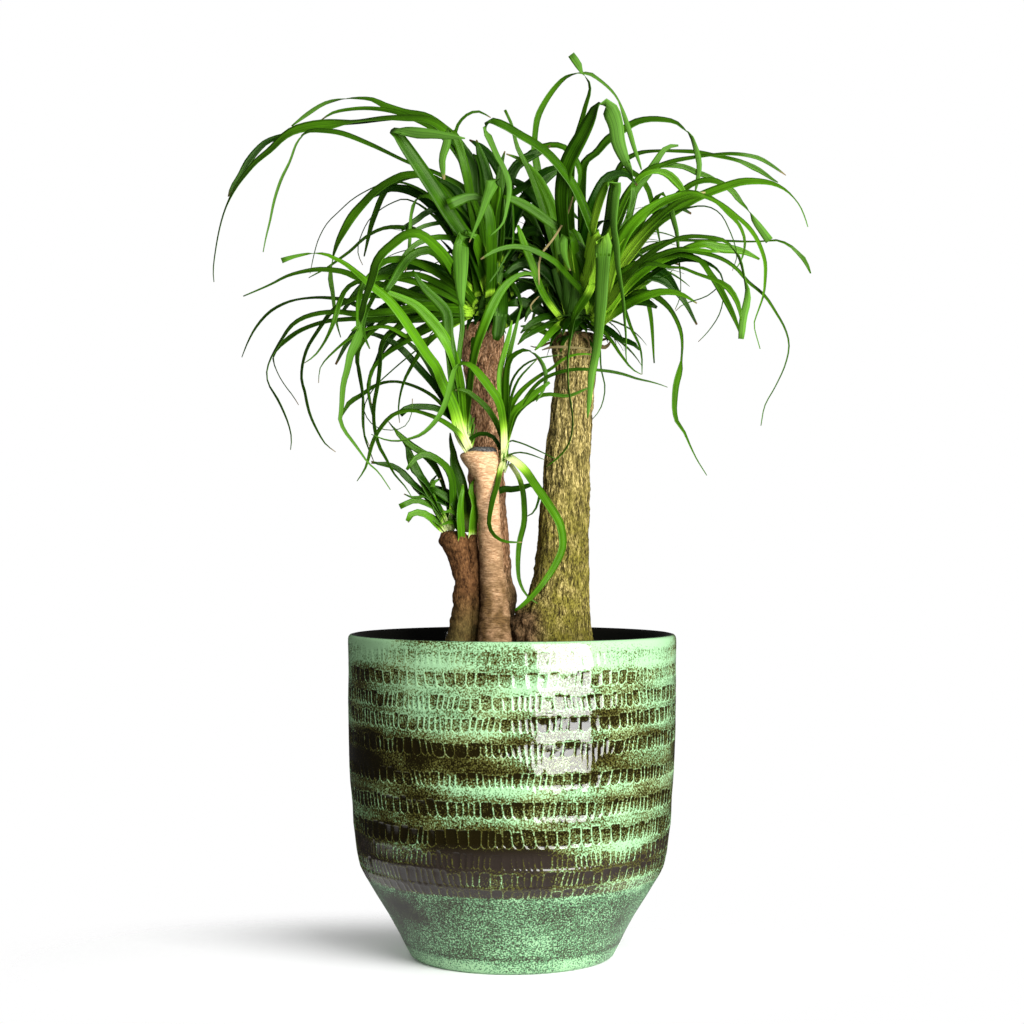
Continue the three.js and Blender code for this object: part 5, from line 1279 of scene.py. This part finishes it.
class LeafBuilder:
    """Adds blades to one mesh, with the layers that the leaf shader reads."""

    def __init__(self, context):
        stage = context.scene.palm_stage
        self.settings = context.scene.palm_leaf
        self.eye = Vector((0, -stage.eye_distance, stage.eye_height))
        self.bm = bmesh.new()
        self.uv = self.bm.loops.layers.uv.new("blade")
        self.layers = [self.bm.verts.layers.float.new(name) for name in LEAF_LAYERS]

    def blade(self, width, tone, depths, points, axis, pale, dry):
        """One strap leaf: its line, its width and the turn that shows that much of it."""
        points = [points[i:i + 3] for i in range(0, len(points), 3)]
        lengths = [0.0]
        for a, b in zip(points, points[1:]):
            lengths.append(lengths[-1] + math.dist(a[:2], b[:2]))
        placed = []
        for (across, height, shown), length in zip(points, lengths):
            depth = keyed(depths, length / lengths[-1])
            spot, share = place_in_depth(across, height, depth, self.eye)
            placed.append((*spot, shown * share * MM))
        fewest, most, spacing = BLADE_RINGS
        count = max(fewest, min(most, round(lengths[-1] / spacing)))
        self.skin(smooth_line(placed, count), width * MM, tone, axis, pale, dry)

    def arch(self, rng, axis, height, azimuth, pitch, length, droop, width, tone):
        """A leaf that leaves the crown at an azimuth and pitch (degrees) and bends down by its droop."""
        spot = Vector((axis[0], axis[1], height)) * MM
        turn = math.radians(azimuth)
        curl = math.radians(rng.uniform(-35, 35))
        count = max(10, round(length / 5.0))
        spot += Vector((math.cos(turn), math.sin(turn), 0)) * 0.004
        line = []
        for i in range(count):
            t = i / (count - 1)
            line.append((*spot, None))
            lift = math.radians(pitch - droop * t ** 1.2)
            aim = turn + curl * t
            step = Vector((math.cos(aim) * math.cos(lift), math.sin(aim) * math.cos(lift), math.sin(lift)))
            spot = spot + step * (length * MM / (count - 1))
        self.skin(line, width * MM, tone, axis, 0.04, 0.0)

    def skin(self, line, width, tone, axis, pale, dry):
        """Skin a line of (x, y, z, shown width) samples; without a width a leaf keeps its upper side up."""
        last = len(line) - 1
        spots = [Vector(sample[:3]) for sample in line]
        out = spots[int(last * 0.6)] - Vector((axis[0] * MM, axis[1] * MM, 0))
        out.z = 0
        out = out.normalized() if out.length > 1e-4 else Vector((1, 0, 0))
        rings = []
        face = None
        flat = None
        for i, (spot, along) in enumerate(zip(spots, directions(spots))):
            t = i / last
            up = square_to(out * -along.z + Vector((0, 0, 1)) * along.dot(out), along)
            if up.length < 0.05:
                up = square_to(face or Vector((0, 0, 1)), along)
            up.normalize()
            to_eye = square_to(self.eye - spot, along).normalized()
            level = up - to_eye * up.dot(to_eye)
            if level.length > 0.08:
                flat = level.normalized()
            elif flat is None:
                flat = along.cross(to_eye).normalized()
            real = width * taper(t)
            shown = line[i][3]
            if shown is None:
                real = max(real, THINNEST)
                face = up
            else:
                real = max(real, abs(shown), THINNEST)
                turn = max(-1.0, min(1.0, shown / real))
                face = flat * math.sqrt(1 - turn * turn) + to_eye * turn
            face = square_to(face, along).normalized()
            fold = self.settings.channel * (1 - 0.55 * t)
            rings.append(self.ring(spot, along.cross(face), face, real, fold, (tone, t, pale, dry)))
        self.join(rings)

    def base(self, line, width, tone, axis, pale):
        """One leaf base: broad below, its upper face turned to the stem's axis."""
        last = len(line) - 1
        rings = []
        for i, (spot, along) in enumerate(zip(line, directions(line))):
            t = i / last
            face = Vector((axis[0] * MM, axis[1] * MM, 0)) - spot
            face.z = 0
            face = square_to(face, along).normalized()
            rings.append(self.ring(spot, along.cross(face), face, width * (1.25 - 0.75 * t), 0.5,
                                   (tone, t, pale, 0.0)))
        self.join(rings)

    def ring(self, spot, side, face, real, fold, values):
        """Ten vertices round the V-shaped section: five on the upper face, five below."""
        made = []
        thick = self.settings.thickness * (0.45 + 0.55 * min(1.0, real / 0.006))
        for upper in (1.0, 0.0):
            for step in range(5):
                u = step / 2 - 1 if upper else 1 - step / 2
                lift = (abs(u) * 0.8 + 0.2 * u * u) * fold * real / 2
                half = thick * (0.5 - 0.24 * abs(u))
                across = u * real / 2 * math.sqrt(1 - min(0.8, fold * fold))
                vertex = self.bm.verts.new(spot + side * across + face * (lift + (half if upper else -half)))
                for layer, value in zip(self.layers, (*values, upper)):
                    vertex[layer] = value
                made.append((vertex, u / 2 + 0.5))
        return made

    def join(self, rings):
        """Lay faces between the rings and close both ends."""
        last = len(rings) - 1
        for i, (low, high) in enumerate(zip(rings, rings[1:])):
            for j in range(len(low)):
                k = (j + 1) % len(low)
                corners = (low[j], low[k], high[k], high[j])
                quad = self.bm.faces.new([vertex for vertex, _ in corners])
                for loop, (_, u), step in zip(quad.loops, corners, (i, i, i + 1, i + 1)):
                    loop[self.uv].uv = (u, step / last)
        for ring, turned in ((rings[0], True), (rings[-1], False)):
            verts = [vertex for vertex, _ in ring]
            for j in range(len(verts) // 2 - 1):
                quad = [verts[j], verts[j + 1], verts[-2 - j], verts[-1 - j]]
                self.bm.faces.new(quad if turned else quad[::-1])

    def finish(self, name, slot, *replaced):
        """Turn what was added into one piece."""
        bmesh.ops.recalc_face_normals(self.bm, faces=self.bm.faces)
        mesh = bpy.data.meshes.new(name)
        self.bm.to_mesh(mesh)
        self.bm.free()
        mesh.shade_smooth()
        piece = bpy.data.objects.new(name, mesh)
        bpy.context.collection.objects.link(piece)
        finish_piece(piece, slot, leaf_material(self.settings), *replaced)


def leaf_material(settings):
    """Blades: glossy and veined above, dull below, pale at the base and dry at the tip."""
    found = bpy.data.materials.get("strap_leaf")
    if found:
        return found
    material, tree, shader = new_material("strap_leaf")
    place = tree.place()
    blade = tree.uv_layer("blade")
    tone, along, pale, dry, upper = (tree.attribute(name) for name in LEAF_LAYERS)
    veins = tree.noise(tree.stretched(blade, (13.0, 1.6, 1.0)), 1.0, 2.0, 0.6)
    lines = tree.noise(tree.stretched(blade, (34.0, 2.0, 1.0)), 1.0, 1.0, 0.5)
    grain, blotch = speckle(tree, place, 0.0012, 0.018)
    vein_swing = tree.minus(veins, 0.5)

    # Green: deep to bright by tone, which is partly the leaf's own green and partly painted light and shade, and
    # duller below.
    shade = tree.plus(tree.minus(tone, 0.08), tree.times(tree.minus(blotch, 0.5), 0.6))
    shade = tree.plus(shade, tree.times(vein_swing, 0.5), clamp=True)
    green = tree.mix(shade, settings.deep, settings.bright)
    under = tree.mix(tree.times(shade, 0.6), settings.under, settings.bright)
    colour = tree.mix(upper, under, green)

    # Base: yellow-green, brightened beyond the leaf's own colour as painted light, and pale on the shoots.
    base = tree.times(tree.ramp(tree.math("DIVIDE", along, tree.plus(pale, 0.0001)), 1.0, 0.1), 0.9)
    below_crowns = tree.ramp(tree.split(place)["Z"], 0.41, 0.39)
    colour = tree.mix(tree.ramp(base, 0.0, 0.6), colour, settings.young)
    colour = tree.mix(tree.times(tree.ramp(base, 0.3, 0.9), below_crowns), colour, settings.pale)

    # Stripes along the veins, but not on the dry tip.
    ragged = tree.plus(dry, tree.times(vein_swing, 0.05))
    to_tip = tree.minus(ragged, tree.minus(1.0, along))
    tip = tree.times(tree.ramp(to_tip, -0.015, 0.01), tree.ramp(dry, 0.0, 0.01))
    rib = tree.times(tree.ramp(veins, 0.38, 0.62, -0.26, 0.26), tree.minus(1.0, tip))
    colour = tree.node("ShaderNodeVectorMath", {0: colour, "Scale": tree.plus(1.0, rib)}, operation="SCALE")["Vector"]
    # The dry tip follows tone: darker on low-tone leaves and paler on high-tone ones, partly painted shade and light,
    # partly random patches.
    withered = tree.mix(tree.ramp(tone, 0.0, 0.9), (0.060, 0.030, 0.013), tuple(1.6 * c for c in settings.dry))
    pale_dry_patches_by_tone = tree.times(tree.ramp(blotch, 0.35, 0.65), tree.ramp(tone, 0.0, 0.5))
    colour = tree.mix(tip, colour, tree.mix(pale_dry_patches_by_tone, withered, settings.dry))
    spots = tree.times(tree.ramp(grain, 0.74, 0.80), tree.ramp(blotch, 0.58, 0.66))
    colour = tree.mix(spots, colour, (0.050, 0.034, 0.008))

    rough = tree.plus(tree.plus(tree.times(upper, -0.22), 0.58), tree.times(tip, 0.25))
    shader.inputs["Specular IOR Level"].default_value = 0.3
    shader.inputs["Specular Tint"].default_value = (0.50, 0.75, 0.30, 1.0)
    surface(tree, shader, colour, rough, lines, 0.35, 0.0003)
    return material


def add_leaves(context, crown, rows, pale, lit_young_reach):
    """One piece for each long leaf of a crown; pale is how far up its light base reaches, and lit_young_reach how far
    on leaves of high tone, a painted light.
    """
    for number, (width, tone, depths, *points) in enumerate(rows, 1):
        name = f"{crown}_leaf_{number:02d}"
        builder = LeafBuilder(context)
        builder.blade(width, tone, depths, points, AXES[crown], lit_young_reach if tone > 0.55 else pale, 0.0)
        builder.finish(name + "_blade", "leaf", name)


def add_small(context, name, rows, crown, pale, lit_young_reach, dry):
    """One piece for a crown's smaller blades."""
    builder = LeafBuilder(context)
    rng = random.Random(name)
    for width, tone, depths, *points in rows:
        # Leaves of high tone get the longer lit_young_reach, painted light.
        young = (lit_young_reach if tone > 0.75 else pale) * rng.uniform(0.6, 1.4)
        dead = dry * rng.uniform(0.0, 1.5) if abs(points[-1]) < 2 else 0.0
        builder.blade(width, tone, depths, points, AXES[crown], young, dead)
    builder.finish(name, "leaf")


def add_fillers(context, crown):
    """One piece for the many plain leaves in the middle of a crown."""
    builder = LeafBuilder(context)
    rng = random.Random(crown)
    for name, count, bottom, *spans in FILLERS:
        if name != crown:
            continue
        for _ in range(count):
            height = bottom + rng.uniform(-6, 10)
            builder.arch(rng, AXES[crown + "_crown"], height, *[rng.uniform(*span) for span in spans])
    builder.finish(crown + "_crown_inner_leaves", "leaf")


class PALM_OT_main_crown(bpy.types.Operator):
    """Leaves of the main trunk's crown."""

    bl_idname = "palm.main_crown"
    bl_label = "Main crown leaves"

    def execute(self, context):
        add_leaves(context, "main_crown", MAIN_CROWN, 0.12, 0.42)
        add_small(context, "main_crown_small_leaves", MAIN_SMALL, "main_crown", 0.1, 0.4, 0.015)
        add_fillers(context, "main")
        add_small(context, "dry_leaf_remains", DRY_REMAINS, "main_crown", 0.0, 0.0, 12.0)
        return {"FINISHED"}


class PALM_OT_rear_crown(bpy.types.Operator):
    """Leaves of the rear trunk's crown."""

    bl_idname = "palm.rear_crown"
    bl_label = "Rear crown leaves"

    def execute(self, context):
        add_leaves(context, "rear_crown", REAR_CROWN, 0.08, 0.08)
        add_small(context, "rear_crown_small_leaves", REAR_SMALL, "rear_crown", 0.06, 0.2, 0.015)
        add_fillers(context, "rear")
        return {"FINISHED"}


class PALM_OT_shoots(bpy.types.Operator):
    """Leaves of the young shoots on the stumps."""

    bl_idname = "palm.shoots"
    bl_label = "Shoots on the stumps"

    def execute(self, context):
        for name, rows in (("left_shoot", LEFT_SHOOT), ("right_shoot", RIGHT_SHOOT), ("left_sprout", LEFT_SPROUT)):
            add_leaves(context, name, rows, 0.2, 0.2)
        add_small(context, "shoot_small_leaves", SHOOT_SMALL, "right_shoot", 0.2, 0.2, 0.015)
        return {"FINISHED"}


class PALM_OT_hearts(bpy.types.Operator):
    """Nests of overlapping leaf bases on the tops of the stems."""

    bl_idname = "palm.hearts"
    bl_label = "Leaf bases"

    def execute(self, context):
        for node, x, y, bottom, tall, low, high, count, tone in HEARTS:
            rng = random.Random(node)
            builder = LeafBuilder(context)
            for i in range(count):
                turn = i * GOLDEN_ANGLE + rng.uniform(-0.2, 0.2)
                rise = i / count
                out = Vector((math.cos(turn), math.sin(turn), 0))
                start = Vector((x, y, bottom + tall * 0.55 * rise)) * MM
                reach = (low * (1 - rise) + high * rise) * MM
                length = tall * rng.uniform(0.5, 0.75) * MM
                line = []
                for step in range(9):
                    t = step / 8
                    spread = reach * (0.25 + 0.75 * math.sin(min(1.0, t * 1.3) * math.pi / 2)) + reach * 0.5 * t * t
                    line.append(start + out * spread + Vector((0, 0, length * t)))
                width = low * rng.uniform(0.75, 1.05) * MM
                builder.base(line, width, tone + rng.uniform(-0.3, 0.2), (x, y), 0.7 if tone > 0.5 else 0.0)
            builder.finish(node + "_bases", "leaf_base", node)
        return {"FINISHED"}


# ------------------------------------------------------------------ the stage
# Lights: name, azimuth and distance, height, width and height of its face, tilt, share of the power,
# whether it shows in reflections.
LIGHTS = (
    ("softbox", 34, 1.3, 0.6, 0.9, 1.4, 90, 1.0, True),
    ("back_light", 214, 1.5, 0.9, 1.2, 1.4, 75, 0.12, False),
)
SENSOR_WIDTH = 36.0
CAMERA_SHIFT = 0.0254


class PALM_OT_stage(bpy.types.Operator):
    """Pale floor, soft light from the right and the camera."""

    bl_idname = "palm.stage"
    bl_label = "Floor, light and camera"

    def execute(self, context):
        settings = context.scene.palm_stage
        self.add_floor(context, settings.floor_tone)
        self.add_room(context, settings.fill)
        self.add_lights(context, settings.softbox_power)
        self.add_camera(context, settings)
        context.scene.view_settings.view_transform = "Standard"
        return {"FINISHED"}

    @staticmethod
    def add_floor(context, tone):
        """A white floor, whole within 0.14 m of a spot beside the pot and gone at 0.34 m."""
        deselect()
        bpy.ops.mesh.primitive_plane_add(size=4, location=(0, 0, 0))
        floor = context.object
        floor.name = "studio_floor"
        material, tree, shader = new_material("pale_floor")
        place = tree.place()
        cloud = tree.ramp(tree.noise(place, 0.8, 2.0, 0.55), 0.3, 0.7)
        colour = tree.mix(cloud, (tone,) * 3, (tone * 0.985,) * 3)
        beside = {"Vector": place, "Location": (0.07, 0.05, 0), "Scale": (1.0, 1.7, 1.0)}
        away = tree.node("ShaderNodeVectorMath", {0: tree.node("ShaderNodeMapping", beside)[0]}, operation="LENGTH")
        tree.links.new(colour, shader.inputs["Base Color"])
        tree.links.new(tree.ramp(away["Value"], 0.34, 0.14), shader.inputs["Alpha"])
        shader.inputs["Roughness"].default_value = 0.9
        shader.inputs["Specular IOR Level"].default_value = 0.1
        floor.data.materials.append(material)

    @staticmethod
    def add_room(context, fill):
        """A white room: full strength behind the object, less as light and least in reflections."""
        world = bpy.data.worlds.new("studio")
        world.use_nodes = True
        context.scene.world = world
        tree = Tree(world.node_tree)
        background = world.node_tree.nodes["Background"]
        background.inputs["Color"].default_value = (1.0, 1.0, 1.0, 1.0)
        ray = tree.node("ShaderNodeLightPath")
        seen = tree.times(ray["Is Camera Ray"], 1.0 - fill)
        mirrored = tree.times(ray["Is Glossy Ray"], fill * -0.93)
        tree.links.new(tree.plus(tree.plus(seen, mirrored), fill), background.inputs["Strength"])

    @staticmethod
    def add_lights(context, power):
        """The softbox at the front right, and a weak light behind."""
        for name, azimuth, distance, height, wide, tall, tilt, share, reflected in LIGHTS:
            azimuth = math.radians(azimuth)
            place = (distance * math.sin(azimuth), -distance * math.cos(azimuth), height)
            bpy.ops.object.light_add(type="AREA", location=place)
            lamp = context.object
            lamp.name = name
            lamp.data.shape = "RECTANGLE"
            lamp.data.size = wide
            lamp.data.size_y = tall
            lamp.data.energy = power * share
            lamp.rotation_euler = (math.radians(tilt), 0, azimuth)
            lamp.visible_camera = False
            lamp.visible_glossy = reflected

    @staticmethod
    def add_camera(context, settings):
        """The camera, level and square on to the pot."""
        camera = bpy.data.objects.new("camera", bpy.data.cameras.new("camera"))
        context.collection.objects.link(camera)
        camera.location = (0, -settings.eye_distance, settings.eye_height)
        camera.rotation_euler = (math.radians(90), 0, 0)
        camera.data.lens = settings.lens
        camera.data.sensor_width = SENSOR_WIDTH
        camera.data.shift_y = CAMERA_SHIFT
        camera.data.clip_end = 50
        context.scene.camera = camera


class PALM_PT_panel(bpy.types.Panel):
    """Buttons for every part of the palm."""

    bl_idname = "PALM_PT_panel"
    bl_label = "Potted palm"
    bl_space_type = "VIEW_3D"
    bl_region_type = "UI"
    bl_category = "Palm"

    def draw(self, context):
        column = self.layout.column()
        for group in (context.scene.palm_pot, context.scene.palm_leaf, context.scene.palm_stage):
            for prop in group.bl_rna.properties:
                if prop.identifier not in ("rna_type", "name"):
                    column.prop(group, prop.identifier)
        for operator in OPERATORS:
            column.operator(operator.bl_idname)


OPERATORS = (
    PALM_OT_glazed_pot, PALM_OT_nursery_pot, PALM_OT_potting_soil, PALM_OT_stems, PALM_OT_hearts,
    PALM_OT_main_crown, PALM_OT_rear_crown, PALM_OT_shoots, PALM_OT_stage,
)
CLASSES = (PALM_PG_pot, PALM_PG_leaf, PALM_PG_stage, *OPERATORS, PALM_PT_panel)


def register():
    """Register the classes and hang their settings on the scene."""
    for cls in CLASSES:
        bpy.utils.register_class(cls)
    bpy.types.Scene.palm_pot = bpy.props.PointerProperty(type=PALM_PG_pot)
    bpy.types.Scene.palm_leaf = bpy.props.PointerProperty(type=PALM_PG_leaf)
    bpy.types.Scene.palm_stage = bpy.props.PointerProperty(type=PALM_PG_stage)


def unregister():
    """Take the settings and classes away again."""
    del bpy.types.Scene.palm_stage
    del bpy.types.Scene.palm_leaf
    del bpy.types.Scene.palm_pot
    for cls in reversed(CLASSES):
        bpy.utils.unregister_class(cls)


def main():
    """Build everything in order."""
    register()
    for operator in OPERATORS:
        category, name = operator.bl_idname.split(".")
        getattr(getattr(bpy.ops, category), name)()
    context = bpy.context
    context.view_layer.update()


if __name__ == "__main__":
    main()
